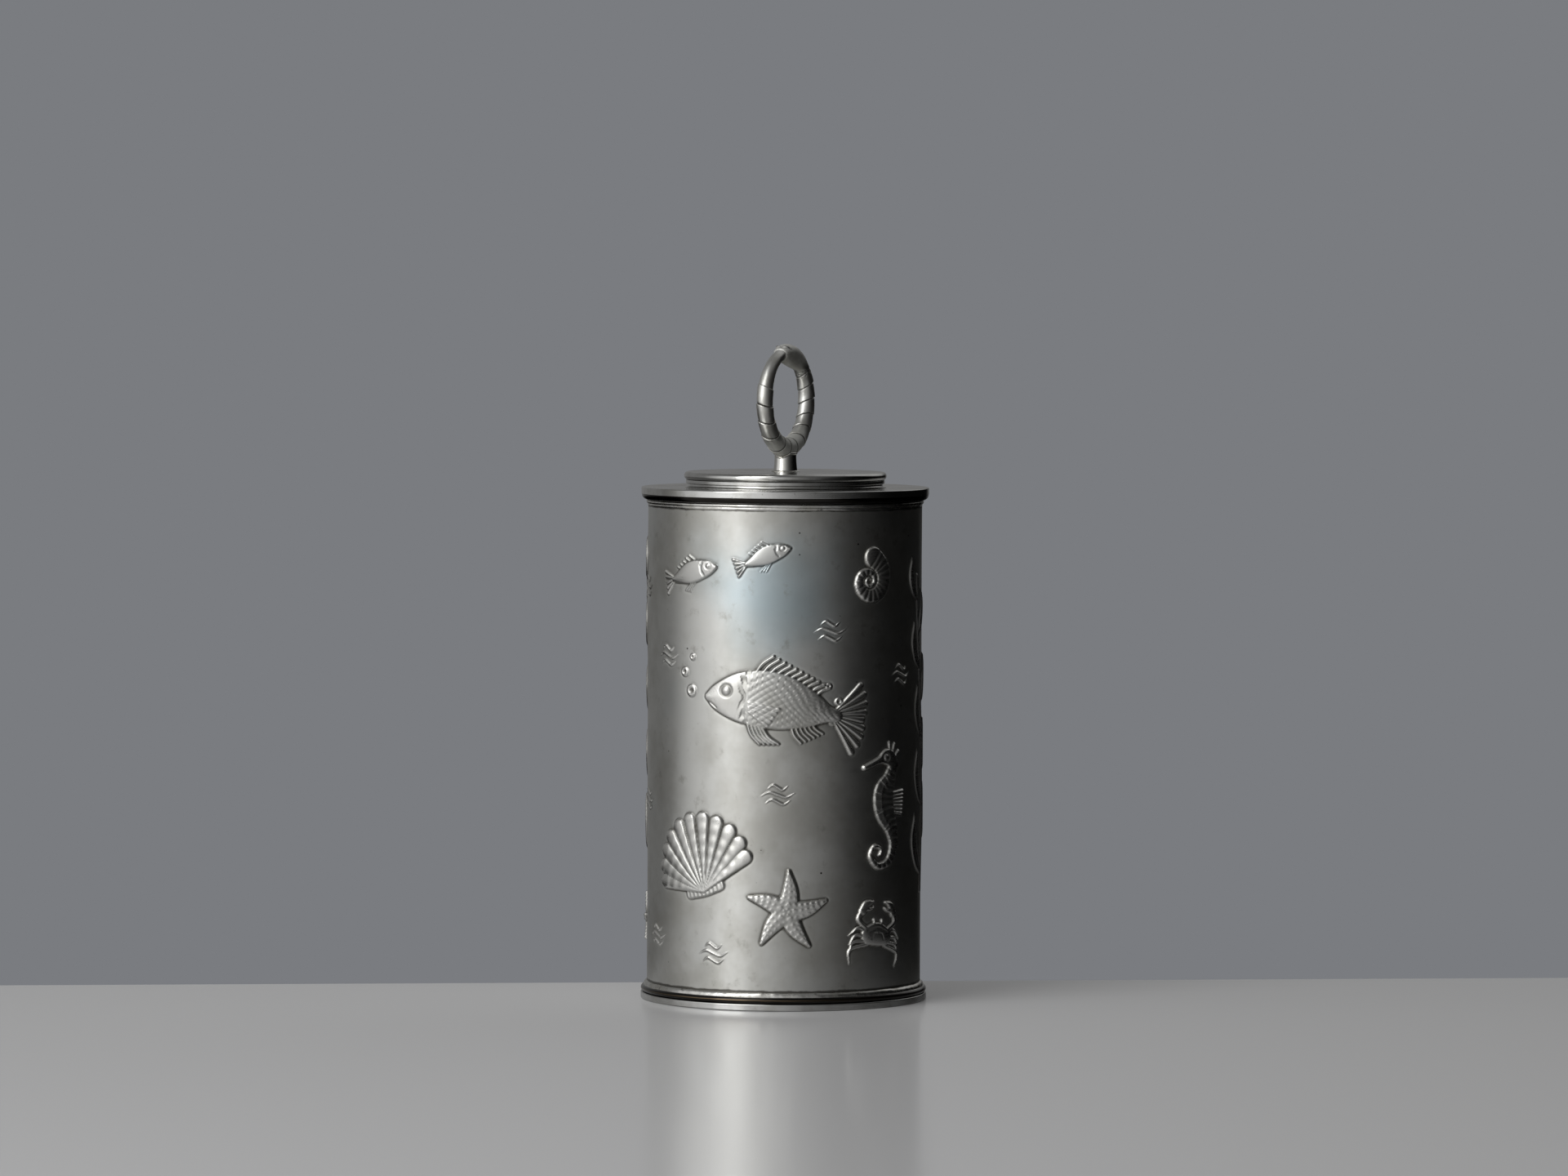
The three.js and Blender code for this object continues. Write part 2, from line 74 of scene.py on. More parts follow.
camera = new_object("camera", bpy.data.cameras.new("camera"))
scene.camera = camera
camera.data.sensor_width = SENSOR_WIDTH
camera.data.lens = LENS_LENGTH
camera.location = towards_camera * CAMERA_DISTANCE + picture_right * CAMERA_ASIDE
camera.location.z = CAMERA_HEIGHT
look = -towards_camera * math.cos(CAMERA_PITCH) - Vector((0, 0, math.sin(CAMERA_PITCH)))
camera.rotation_mode = "QUATERNION"
camera.rotation_quaternion = look.to_track_quat("-Z", "Y") @ Quaternion((0, 0, 1), CAMERA_ROLL)

# Studio. A grey backdrop closes the room behind the jar. Soft light comes from the camera's left
# and fades round to the right, where the room is dark, so the metal shows both. A soft box hangs
# above the brightest part, and a lit patch high on the backdrop shows on the serpent's head.
room_light = (  # degrees to the camera's left, and how bright the room is there
    (180, 0.19), (114, 0.2), (103, 0.28), (92, 0.52), (80, 0.75), (68, 0.9), (56, 1.0),
    (45, 1.0), (36, 1.0), (28, 0.93), (19, 0.78), (11, 0.6), (3, 0.44), (-6, 0.3),
    (-14, 0.2), (-22, 0.14), (-31, 0.09), (-39, 0.06), (-48, 0.04), (-57, 0.025),
    (-67, 0.014), (-77, 0.007), (-88, 0.003), (-100, 0.002), (-158, 0.002), (-170, 0.15),
    (-180, 0.19),
)
CEILING = (0.45, 0.9, "666666")  # how high it begins and is full, as sines, and its colour
FLOOR = (-0.05, -0.2, "020202")
BACKDROP = "7a7c80"
LIT_BACKDROP = 0.42  # how bright the metal sees the backdrop's lit patch
PATCH_EDGE = 0.81  # the cosine of the angle from the patch's middle at which its light begins
PATCH_CORE = 0.96  # and at which it is full
AIM_HEIGHT = 0.11  # of the place on the jar that the soft box faces
SOFT_BOX_WIDTH = 0.75
SOFT_BOX_LENGTH = 1.9
SOFT_BOX_RADIANCE = 2.0
SOFT_BOX_DISTANCE = 1.5


def linear(hex_colour):
    """An sRGB hex colour as linear red, green, blue and alpha."""
    parts = [int(hex_colour[i:i + 2], 16) / 255 for i in (0, 2, 4)]
    return [c / 12.92 if c <= 0.04045 else ((c + 0.055) / 1.055) ** 2.4 for c in parts] + [1]


def add_node(tree, kind, **parts):
    """Adds a node and returns its outputs. A part named in small letters is one of its settings.
    Any other is an input, named with _ for a space or as _ and its number, and takes a value or
    another node's output."""
    node = tree.nodes.new(kind)
    for name, part in parts.items():
        if name[0].islower():
            setattr(node, name, part)
            continue
        socket = node.inputs[int(name[1:]) if name[0] == "_" else name.replace("_", " ")]
        if isinstance(part, bpy.types.NodeSocket):
            tree.links.new(part, socket)
        else:
            socket.default_value = part
    return node.outputs


def around(degrees_left, elevation=0):
    """The direction, seen from the jar, that lies so far round to the camera's left."""
    turn = VIEW_AZIMUTH - math.radians(degrees_left)
    rise = math.radians(elevation)
    flat = math.cos(rise)
    return Vector((math.sin(turn) * flat, -math.cos(turn) * flat, math.sin(rise)))


def tinted(tree, tone, pattern, start, end, tint, share=1.0):
    """The tone with a tint over it, from none where the pattern is at its start to the tint's
    share where it is at its end."""
    cover = add_node(
        tree, "ShaderNodeMapRange", interpolation_type="SMOOTHSTEP",
        Value=pattern, From_Min=start, From_Max=end, To_Max=share,
    )[0]
    return add_node(tree, "ShaderNodeMix", data_type="RGBA", Factor=cover, _6=tone, _7=tint)[2]


world = bpy.data.worlds.new("studio")
scene.world = world
world.use_nodes = True
tree = world.node_tree
tree.nodes.clear()
direction = add_node(tree, "ShaderNodeTexCoord")["Generated"]
facing_room = (0, 0, math.pi / 2 - VIEW_AZIMUTH)
turned_room = add_node(tree, "ShaderNodeMapping", Vector=direction, Rotation=facing_room)[0]
round_room = add_node(tree, "ShaderNodeTexGradient", gradient_type="RADIAL", Vector=turned_room)
room = add_node(tree, "ShaderNodeValToRGB", Fac=round_room["Fac"])["Color"]
stops = room.node.color_ramp.elements
stops.remove(stops[1])
for i, (degrees_left, radiance) in enumerate(room_light):
    position = 0.5 - degrees_left / 360
    stop = stops.new(position) if i else stops[0]
    stop.position = position
    stop.color = [radiance] * 3 + [1]
height = add_node(tree, "ShaderNodeSeparateXYZ", Vector=direction)["Z"]
for start, end, colour in (CEILING, FLOOR):
    room = tinted(tree, room, height, start, end, linear(colour))
patch_way = around(-150, 40)[:]
to_patch = add_node(
    tree, "ShaderNodeVectorMath", operation="DOT_PRODUCT", _0=direction, _1=patch_way
)["Value"]
room = tinted(tree, room, to_patch, PATCH_EDGE, PATCH_CORE, [LIT_BACKDROP] * 3 + [1])
seen = add_node(tree, "ShaderNodeLightPath")["Is Camera Ray"]
room = add_node(
    tree, "ShaderNodeMix", data_type="RGBA", Factor=seen, _6=room, _7=linear(BACKDROP)
)[2]
background = add_node(tree, "ShaderNodeBackground", Color=room, Strength=1.0)[0]
add_node(tree, "ShaderNodeOutputWorld", Surface=background)

soft_box_way = around(44, 35)
soft_box = bpy.data.lights.new("soft_box", "AREA")
soft_box.shape = "RECTANGLE"
soft_box.size = SOFT_BOX_WIDTH
soft_box.size_y = SOFT_BOX_LENGTH
soft_box.energy = SOFT_BOX_RADIANCE * math.pi * SOFT_BOX_WIDTH * SOFT_BOX_LENGTH
lamp = new_object("soft_box", soft_box)
lamp.location = soft_box_way * SOFT_BOX_DISTANCE + Vector((0, 0, AIM_HEIGHT))
lamp.rotation_mode = "QUATERNION"
lamp.rotation_quaternion = soft_box_way.to_track_quat("Z", "Y")

# Table. Its back edge passes close behind the jar, and its satin top holds a soft reflection. The
# metal shows it with painted shade: darker than the camera does, and darkest to the right, away from the
# light.
TABLE_BEHIND = 0.05
TABLE_BEFORE = 1.5
TABLE_HALF_WIDTH = 1.6
TABLE_TURN = math.radians(5)
LAMINATE = "fdfdfe"
LIT_IN_METAL = "ededee"
DARK_IN_METAL = "0e0e0f"
LIT_REACH = 0.12  # how far from the jar the table's two sides look fully light and dark in the metal
LAMINATE_ROUGHNESS = 0.17


def new_finish(name):
    """A material, its node tree and a place on the piece, for its patterns."""
    material = bpy.data.materials.new(name)
    material.use_nodes = True
    tree = material.node_tree
    tree.nodes.clear()
    return material, tree, add_node(tree, "ShaderNodeTexCoord")["Object"]


table_front = towards_camera.copy()
table_front.rotate(Quaternion((0, 0, 1), TABLE_TURN))
table_side = Vector((-table_front.y, table_front.x, 0)) * TABLE_HALF_WIDTH
corners = [
    -table_front * TABLE_BEHIND - table_side,
    -table_front * TABLE_BEHIND + table_side,
    table_front * TABLE_BEFORE + table_side,
    table_front * TABLE_BEFORE - table_side,
]
table_mesh = bpy.data.meshes.new("table")
table_mesh.from_pydata([corner[:] for corner in corners], [], [(0, 1, 2, 3)])
table = new_object("table", table_mesh)
laminate, tree, place = new_finish("satin_grey_laminate")
lit_way = around(50)[:]
to_light = add_node(tree, "ShaderNodeVectorMath", operation="DOT_PRODUCT", _0=place, _1=lit_way)["Value"]
# painted shade: the table's tone in the metal darkens away from the light
in_metal = tinted(
    tree, linear(DARK_IN_METAL), to_light, -LIT_REACH, LIT_REACH, linear(LIT_IN_METAL)
)
mirrored = add_node(tree, "ShaderNodeLightPath")["Is Glossy Ray"]
tone = add_node(
    tree, "ShaderNodeMix", data_type="RGBA", Factor=mirrored, _6=linear(LAMINATE), _7=in_metal
)[2]
shader = add_node(
    tree, "ShaderNodeBsdfPrincipled", Base_Color=tone, Roughness=LAMINATE_ROUGHNESS
)[0]
add_node(tree, "ShaderNodeOutputMaterial", Surface=shader)
table_mesh.materials.append(laminate)

# Wall. One sheet of pewter, cast flat with sea creatures in low relief, rolled to a tube and
# soldered up the back. It is drawn flat here too, in millimetres, as the height of the relief over
# each place on the sheet, and is then rolled. It is split into panels, each a closed piece.
MM = 0.001
low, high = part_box("wall")
seam_low, seam_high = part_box("wall_seam")
WALL_RADIUS = 45
WALL_THICKNESS = 1.8
PANELS = 6
PANEL_COLUMNS = 157
SHEET_ROWS = 546
FRONT = 206  # degrees round from +X to the middle of the drawing, which faces the camera
SEAM = 90
wall_height = (high.z - low.z) / MM
seam_width = (seam_high.x - seam_low.x) / MM
sheet_left = -math.radians(FRONT - SEAM) * WALL_RADIUS
sheet_right = sheet_left + 2 * math.pi * WALL_RADIUS
columns = PANELS * PANEL_COLUMNS + 1
across = np.linspace(sheet_left + seam_width / 2, sheet_right - seam_width / 2, columns)
up = np.linspace(0, wall_height, SHEET_ROWS + 1)
relief = np.zeros((len(up), len(across)))

EDGE_WIDTH = 0.6  # over which a motif's outline rises from the sheet
LIFT = 0.36  # how high it rises there, before its body swells
RELIEF_DEPTH = 0.86  # of the heights that the motifs are drawn with


def smooth(t):
    t = np.clip(t, 0, 1)
    return t * t * (3 - 2 * t)


def follow(x, y, points, half_widths, steps=7):
    """How places lie to a smooth line: depth inside its width, half width there, length passed
    and distance to its left."""
    points = np.array(points, float)
    half_widths = np.array(half_widths, float)
    ends = np.column_stack([points, half_widths])
    before = np.vstack([2 * ends[0] - ends[1], ends[:-1]])
    after = np.vstack([ends[1:], 2 * ends[-1] - ends[-2]])
    path = [ends[0]]
    for i in range(len(ends) - 1):
        start, end = ends[i], ends[i + 1]
        pull_in, pull_out = (end - before[i]) / 2, (after[i + 1] - start) / 2
        for t in np.linspace(0, 1, steps + 1)[1:]:
            path.append(
                start * (1 + 2 * t) * (1 - t) ** 2
                + pull_in * t * (1 - t) ** 2
                + end * (3 - 2 * t) * t ** 2
                - pull_out * (1 - t) * t ** 2
            )
    depth = np.full(x.shape, -1e9)
    half = np.ones(x.shape)
    passed = np.zeros(x.shape)
    left = np.zeros(x.shape)
    length = 0.0
    for (ax, ay, aw), (bx, by, bw) in zip(path[:-1], path[1:]):
        dx, dy = bx - ax, by - ay
        run = math.hypot(dx, dy)
        t = np.clip(((x - ax) * dx + (y - ay) * dy) / run ** 2, 0, 1)
        here_half = aw + t * (bw - aw)
        here = here_half - np.hypot(x - ax - t * dx, y - ay - t * dy)
        nearer = here > depth
        depth = np.where(nearer, here, depth)
        half = np.where(nearer, here_half, half)
        passed = np.where(nearer, length + t * run, passed)
        left = np.where(nearer, ((y - ay) * dx - (x - ax) * dy) / run, left)
        length += run
    return depth, np.maximum(half, 0.1), passed, left


def swell(depth, half, height):
    """A rounded body that stands out of the sheet with a crisp outline."""
    crown = np.sqrt(1 - (1 - np.clip(depth / half, 0, 1)) ** 2)
    return smooth(depth / EDGE_WIDTH) * (LIFT + (height - LIFT) * crown)


def stroke(x, y, points, half_widths, height):
    depth, half, _, _ = follow(x, y, points, half_widths)
    return swell(depth, half, height)


def cut(x, y, points, width, deepness):
    """A line engraved with a round tool."""
    depth, _, _, _ = follow(x, y, points, [width] * len(points))
    return deepness * smooth(depth / width)


def fan(x, y, roots, tips, root_half, tip_half, height, bend=0.0):
    """Rays side by side, as in a fin."""
    rays = np.zeros(x.shape)
    for (rx, ry), (tx, ty) in zip(roots, tips):
        middle = ((rx + tx) / 2 - bend * (ty - ry), (ry + ty) / 2 + bend * (tx - rx))
        line = [(rx, ry), middle, (tx, ty)]
        widths = [root_half, (root_half + tip_half) / 2, tip_half]
        rays = np.maximum(rays, stroke(x, y, line, widths, height))
    return rays


def between(start, end, count):
    return [
        (start[0] + (end[0] - start[0]) * t, start[1] + (end[1] - start[1]) * t)
        for t in np.linspace(0, 1, count)
    ]


def eye(x, y, at, radius):
    """A domed pupil in a sunk ring, as an addition to a head."""
    away = np.hypot(x - at[0], y - at[1]) / radius
    return 0.3 * smooth(1.15 - away) - 0.34 * np.exp(-((away - 1.35) / 0.32) ** 2)


def fish(x, y):
    spine = [(-22.5, -1.2), (-17, -0.4), (-9, 0.9), (0, 1.3), (9, 0.6), (16, -0.2), (20, -0.4)]
    depth, half, passed, left = follow(x, y, spine, [1.6, 5.4, 8.7, 9.3, 6.6, 3.3, 2.3])
    body = swell(depth, half, 1.25)
    pitch = 2.7
    scales = np.zeros(x.shape)
    for shift in (0, 0.5):
        du = np.mod(passed / pitch + shift, 1) - 0.5
        dv = np.mod(left / pitch * 1.25 + shift, 1) - 0.5
        scales = np.maximum(scales, 1 - ((du + 0.08) ** 2 + dv ** 2) / 0.3)
    on_body = smooth((passed - 13.5 - left ** 2 * 0.04) / 1.2) * smooth(depth / 1.5)
    body += 0.2 * (scales - 0.75) * on_body
    body -= 0.3 * np.exp(-((passed - 12.6 - left ** 2 * 0.035) / 0.5) ** 2) * (depth > 0)
    body += eye(x, y, (-16.4, 1.9), 1.35) * (depth > 0)
    body -= cut(x, y, [(-25, -2.6), (-21.5, -2.9), (-19, -4.1)], 0.45, 0.35) * (depth > -0.5)
    tail_tips = [
        (20 + (9.5 + 3.4 * abs(a)) * math.cos(a * 0.98), -0.4 + (9.5 + 3.4 * abs(a)) * math.sin(a * 0.98))
        for a in np.linspace(-1, 1, 9)
    ]
    tail = fan(x, y, between((19, -1.6), (19, 0.8), 9), tail_tips, 0.5, 1.25, 0.8)
    back_fin, belly_fin, vent_fin, side_fin = [
        fan(x, y, between(*roots, rays), between(*tips, rays), *widths, height, bend)
        for rays, roots, tips, widths, height, bend in (
            (11, ((-8, 8), (12, 4.4)), ((-3, 15.2), (16.5, 8)), (0.8, 0.75), 0.72, 0.1),
            (5, ((-8, -7), (-3, -7.6)), ((-3, -13), (3, -12)), (0.8, 0.7), 0.7, -0.1),
            (6, ((6, -5.6), (12, -3.4)), ((10, -10.6), (16.5, -6.6)), (0.8, 0.7), 0.7, -0.1),
            (5, ((-8.4, -0.6), (-8, -3.4)), ((1.2, -1.2), (-1.6, -6.8)), (0.55, 0.95), 0.75, 0),
        )
    ]
    return np.maximum.reduce([body, tail, back_fin, belly_fin, vent_fin]) + 0.42 * side_fin


def little_fish(x, y):
    spine = [(-10, 0), (-6, 0.4), (0, 0.5), (6, 0), (9, -0.1)]
    depth, half, passed, left = follow(x, y, spine, [0.9, 3, 3.9, 2.1, 1])
    body = swell(depth, half, 0.9)
    body -= 0.25 * np.exp(-((passed - 5.6 - left ** 2 * 0.05) / 0.35) ** 2) * (depth > 0)
    body += 0.7 * eye(x, y, (-7.4, 1.0), 0.75) * (depth > 0)
    for rays, roots, tips, widths, height in (
        (5, ((8.6, -0.5), (8.6, 0.4)), ((13.6, -3.8), (13.6, 3.6)), (0.4, 0.75), 0.6),
        (5, ((-3, 3.4), (4, 2)), ((0, 6.2), (6.4, 3.6)), (0.5, 0.5), 0.55),
        (3, ((-1, -3), (1, -3)), ((2, -5.6), (4, -4.8)), (0.45, 0.5), 0.5),
    ):
        fin = fan(x, y, between(*roots, rays), between(*tips, rays), *widths, height)
        body = np.maximum(body, fin)
    return body


def scallop(x, y):
    shell = np.zeros(x.shape)
    hinge = (0, -11)
    for a in np.linspace(-66, 66, 11):
        reach = 24.5 - 5.5 * (a / 66) ** 2
        tip = (hinge[0] + reach * math.sin(math.radians(a)), hinge[1] + reach * math.cos(math.radians(a)))
        shell = np.maximum(shell, stroke(x, y, [hinge, tip], [0.5, 2.75], 1.15))
    away = np.hypot(x - hinge[0], y - hinge[1])
    growth = 0.12 * (0.5 + 0.5 * np.cos(2 * math.pi * away / 3.9)) * smooth((away - 6) / 4)
    shell -= growth * smooth(shell / LIFT)
    ears = stroke(x, y, [(-6.2, -10.2), (0, -11.2), (6.2, -10.2)], [2.0, 1.5, 2.0], 0.75)
    ears -= 0.15 * (0.5 + 0.5 * np.cos(2 * math.pi * x / 1.6)) * smooth(ears / LIFT)
    return np.maximum(shell, ears)


def starfish(x, y):
    star = np.zeros(x.shape)
    bumps = np.zeros(x.shape)
    for i in range(5):
        a = 2 * math.pi * i / 5
        ray = [
            (reach * math.cos(a + lean), reach * math.sin(a + lean))
            for reach, lean in ((0, 0), (6.5, 0), (13.5, 0.13))
        ]
        depth, half, passed, left = follow(x, y, ray, [3.8, 2.9, 0.9])
        star = np.maximum(star, swell(depth, half, 1.15))
        dot = np.mod(passed / 1.9, 1) - 0.5
        for side in (-1, 0, 1):
            off = (left - side * half * 0.58) / 0.5
            bumps = np.maximum(bumps, np.exp(-(dot / 0.27) ** 2 - off ** 2) * smooth(depth / 0.8))
    return star + 0.17 * bumps


def seahorse(x, y):
    spine = [
        (2.2, 15.6), (0.6, 11), (-1.4, 6.4), (-0.6, 0.8), (2.6, -4.4), (4.2, -10),
        (2.2, -15.4), (-2.6, -17.2), (-5.9, -14.2), (-4.6, -10.9), (-1.8, -11.6), (-2.2, -13.6),
    ]
    widths = [2.3, 3.1, 4.6, 4.5, 3.2, 2.2, 1.7, 1.45, 1.25, 1.05, 0.85, 0.6]
    depth, half, passed, left = follow(x, y, spine, widths)
    body = swell(depth, half, 1.2)
    ring = 0.5 + 0.5 * np.cos(2 * math.pi * passed / 2.1)
    body -= 0.2 * ring ** 3 * smooth(depth / 0.5)
    body += 0.14 * np.exp(-((left + half * 0.35) / 0.6) ** 2) * smooth(depth / 0.8) * (passed < 22)
    snout = [(2.6, 16.2), (-0.4, 18.4), (-4.4, 17.2), (-10.4, 14.6)]
    head = stroke(x, y, snout, [2.5, 3.0, 1.5, 1.15], 1.2)
    head += 0.9 * eye(x, y, (-1.8, 18.2), 1.0) * (head > LIFT)
    spikes = [(-0.2, 23.2), (2.6, 22.8), (5, 20.6)]
    crown = fan(x, y, [(0.4, 20.2), (1.8, 20), (3.2, 18.8)], spikes, 0.8, 0.55, 0.75)
    fin_tips = between((8.6, 7.6), (8.4, 0.2), 7)
    back_fin = fan(x, y, between((3.4, 6.8), (4, 0.6), 7), fin_tips, 0.55, 0.7, 0.62)
    return np.maximum.reduce([body, head, crown, back_fin])


def coiled_shell(x, y):
    turns = np.linspace(0, 2.15 * 2 * math.pi, 26)
    reach = 1.15 * np.exp(0.165 * turns)
    line = list(zip(reach * np.cos(turns), reach * np.sin(turns)))
    depth, half, passed, _ = follow(x, y, line, 0.49 * reach, 3)
    shell = swell(depth, half, 1.2)
    rib = 0.5 + 0.5 * np.cos(2 * math.pi * passed / 2.5)
    return shell - 0.2 * rib ** 2 * smooth(depth / 0.6)


def crab(x, y):
    limbs = np.zeros(x.shape)
    for side in (-1, 1):
        for i in range(4):
            knee = (side * (10.6 + 1.2 * i), 3.4 - 3.4 * i)
            foot = (side * (15.4 - 0.6 * i), -0.4 - 4.3 * i)
            leg = [(side * 5, 0.6 - 1.4 * i), knee, foot]
            limbs = np.maximum(limbs, stroke(x, y, leg, [1.1, 1.0, 0.4], 0.75))
        arm = [(side * 6, 3), (side * 11, 7), (side * 9.4, 11.4)]
        limbs = np.maximum(limbs, stroke(x, y, arm, [1.3, 1.4, 1.6], 0.9))
        claw = [(side * 9.4, 11), (side * 7.4, 14.2), (side * 3.6, 15.8)]
        limbs = np.maximum(limbs, stroke(x, y, claw, [2.2, 2.1, 0.6], 1.05))
        thumb = [(side * 8.6, 11.6), (side * 4.8, 12.4), (side * 3.2, 13.6)]
        limbs = np.maximum(limbs, stroke(x, y, thumb, [1.2, 1.0, 0.4], 0.9))
        stalk = [(side * 2, 5), (side * 2.4, 7.6)]
        limbs = np.maximum(limbs, stroke(x, y, stalk, [0.6, 0.9], 0.8))
    shell = stroke(x, y, [(-4.6, 0.4), (0, 1.2), (4.6, 0.4)], [4.6, 5.6, 4.6], 1.25)
    shell -= cut(x, y, [(-6, 2.4), (0, 4.2), (6, 2.4)], 0.5, 0.22)
    shell -= cut(x, y, [(-3.4, -1), (-2.4, 1.2), (-0.6, 1.6)], 0.4, 0.2)
    shell -= cut(x, y, [(3.4, -1), (2.4, 1.2), (0.6, 1.6)], 0.4, 0.2)
    return np.maximum(limbs, shell)


def kelp(x, y):
    def stem_at(t):
        return 5 * math.sin(t * 5.2) * (0.4 + 0.6 * t), -52 + 104 * t

    plant = stroke(x, y, [stem_at(t) for t in np.linspace(0, 1, 14)], np.linspace(1.1, 0.5, 14), 0.8)
    for i, t in enumerate(np.linspace(0.05, 0.92, 9)):
        side = 1 if i % 2 else -1
        sx, sy = stem_at(t)
        grow = 1 - 0.35 * t
        blade = [
            (sx, sy),
            (sx + side * 5 * grow, sy + 5 * grow),
            (sx + side * 8.2 * grow, sy + 12.5 * grow),
            (sx + side * 7 * grow, sy + 21 * grow),
        ]
        depth, half, passed, left = follow(x, y, blade, [0.5, 2.6 * grow, 2.4 * grow, 0.25])
        leaf = swell(depth, half, 0.85) - 0.2 * np.exp(-(left / 0.4) ** 2) * smooth(depth / 0.5)
        plant = np.maximum(plant, leaf)
    return plant


def ripples(x, y):
    waves = np.zeros(x.shape)
    wave = ((-1, -0.5), (-0.5, 0.9), (0, 0), (0.5, -0.9), (1, 0.5))
    for lift, reach in ((2.6, 3.6), (0, 6), (-2.6, 4.4)):
        line = [(t * reach, lift + rise) for t, rise in wave]
        waves = np.maximum(waves, stroke(x, y, line, [0.25, 0.6, 0.65, 0.6, 0.25], 0.6))
    return waves


def bubble(x, y):
    away = np.hypot(x, y)
    return 0.5 * smooth((0.95 - np.abs(away - 1.5)) / 0.6)


reaches = {  # each motif's own greatest radius
    fish: 34, little_fish: 16, scallop: 26, starfish: 17, seahorse: 26, coiled_shell: 17, crab: 22,
    kelp: 60, ripples: 8, bubble: 4,
}


def stamp(motif, at, height, turn=0, size=1, flip=1):
    """Raises one motif in the sheet, centred there."""
    half = reaches[motif] * size
    columns = slice(*np.searchsorted(across, (at - half, at + half)))
    rows = slice(*np.searchsorted(up, (height - half, height + half)))
    dx, dy = np.meshgrid((across[columns] - at) / size, (up[rows] - height) / size)
    cos, sin = math.cos(math.radians(turn)), math.sin(math.radians(turn))
    raised = motif((dx * cos + dy * sin) * flip, dy * cos - dx * sin)
    relief[rows, columns] = np.maximum(relief[rows, columns], raised * RELIEF_DEPTH)


for placing in (
    (fish, -3, 97, -9, 1.02),
    (little_fish, -33, 139, 14, 0.98, -1),
    (little_fish, -6, 145, 20, 0.8, -1),
    (coiled_shell, 29, 137, 20, 0.72),
    (scallop, -30, 46, 16, 0.98),
    (seahorse, 37, 61, -4),
    (starfish, 1, 30, 8, 0.98),
    (crab, 33, 21, -6, 0.72),
    (kelp, 62, 86),
    (kelp, -79, 92, 0, 1, -1),
    (fish, 114, 104, 8, 1, -1),
    (little_fish, 96, 144, -12, 0.9),
    (little_fish, 126, 142, 10, 0.85),
    (starfish, 153, 133, 30, 0.8),
    (seahorse, 150, 78, 4, 1, -1),
    (scallop, 92, 60, -14, 0.85),
    (crab, 118, 30, 0, 0.9),
    (coiled_shell, 152, 28, 60, 0.85, -1),
    (kelp, 179, 80, 0, 0.9),
    (starfish, -78, 24, 0, 0.6),
):
    stamp(*placing)
for at, height in (
    (-45, 112), (-2, 68), (-52, 20), (-24, 16), (15, 121), (45, 106), (84, 92),
    (88, 22), (136, 52), (134, 120), (168, 100), (-62, 64), (-64, 134), (176, 24),
):
    stamp(ripples, at, height, 0, 0.9)
for at, height, size in (
    (-33, 101, 0.9), (-36, 107, 0.7), (-32.5, 112, 0.5), (16, 92, 0.8), (18, 98, 0.6), (14.5, 103, 0.5),
    (84, 118, 0.9), (82, 124, 0.7), (85, 130, 0.5), (128, 88, 0.8), (126, 94, 0.6),
):
    stamp(bubble, at, height, 0, size)


def blurred(field, radius):
    """The field softened over so many millimetres."""
    row_waves = np.fft.fftfreq(field.shape[0], up[1] - up[0])
    column_waves = np.fft.rfftfreq(field.shape[1], across[1] - across[0])
    keep = np.exp(-2 * (math.pi * radius) ** 2 * (row_waves[:, None] ** 2 + column_waves[None, :] ** 2))
    return np.fft.irfft2(np.fft.rfft2(field) * keep, field.shape)


DRAWN = 0.08  # a motif begins where the sheet stands up so far
GROUND = 0.2  # and the ground round it may be cut where it stands up less than this
DITCH_WIDTH = 0.45
DITCH_DEPTH = 0.07
drawn = blurred((relief > DRAWN).astype(float), DITCH_WIDTH)
relief -= DITCH_DEPTH * np.clip(4 * drawn * (1 - drawn), 0, 1) * (relief < GROUND)
HOLLOW_WIDTH = 0.6
HOLLOW_DEPTH = 0.3
hollow = np.clip((blurred(relief, HOLLOW_WIDTH) - relief) / HOLLOW_DEPTH, 0, 1)
RAISED_WIDTH = 2.5
RAISED_HEIGHT = 0.4
raised = np.clip((relief - blurred(relief, RAISED_WIDTH)) / RAISED_HEIGHT, 0, 1)
WAVES = 48  # the slow waves of a sheet rolled by hand
SHORTEST_WAVE = 12
LONGEST_WAVE = 70
WAVE_HEIGHT = 0.00013  # for each millimetre of a wave's length
rng = np.random.default_rng(11)
for length in rng.uniform(SHORTEST_WAVE, LONGEST_WAVE, WAVES):
    way = rng.uniform(0, 2 * math.pi)
    phase = (across[None, :] * math.cos(way) + up[:, None] * math.sin(way)) * 2 * math.pi / length
    relief += WAVE_HEIGHT * length * np.sin(phase + rng.uniform(0, 2 * math.pi))

wall_foot = low.z / MM
inner_radius = WALL_RADIUS - WALL_THICKNESS
angle = math.radians(FRONT) + across / WALL_RADIUS
radial = np.stack([np.cos(angle), np.sin(angle)], axis=-1)
slope_up, slope_across = np.gradient(relief, up, across)
normals = np.empty(relief.shape + (3,))
normals[..., 0] = radial[:, 0] + slope_across * radial[:, 1]
normals[..., 1] = radial[:, 1] - slope_across * radial[:, 0]
normals[..., 2] = -slope_up
normals /= np.linalg.norm(normals, axis=2, keepdims=True)


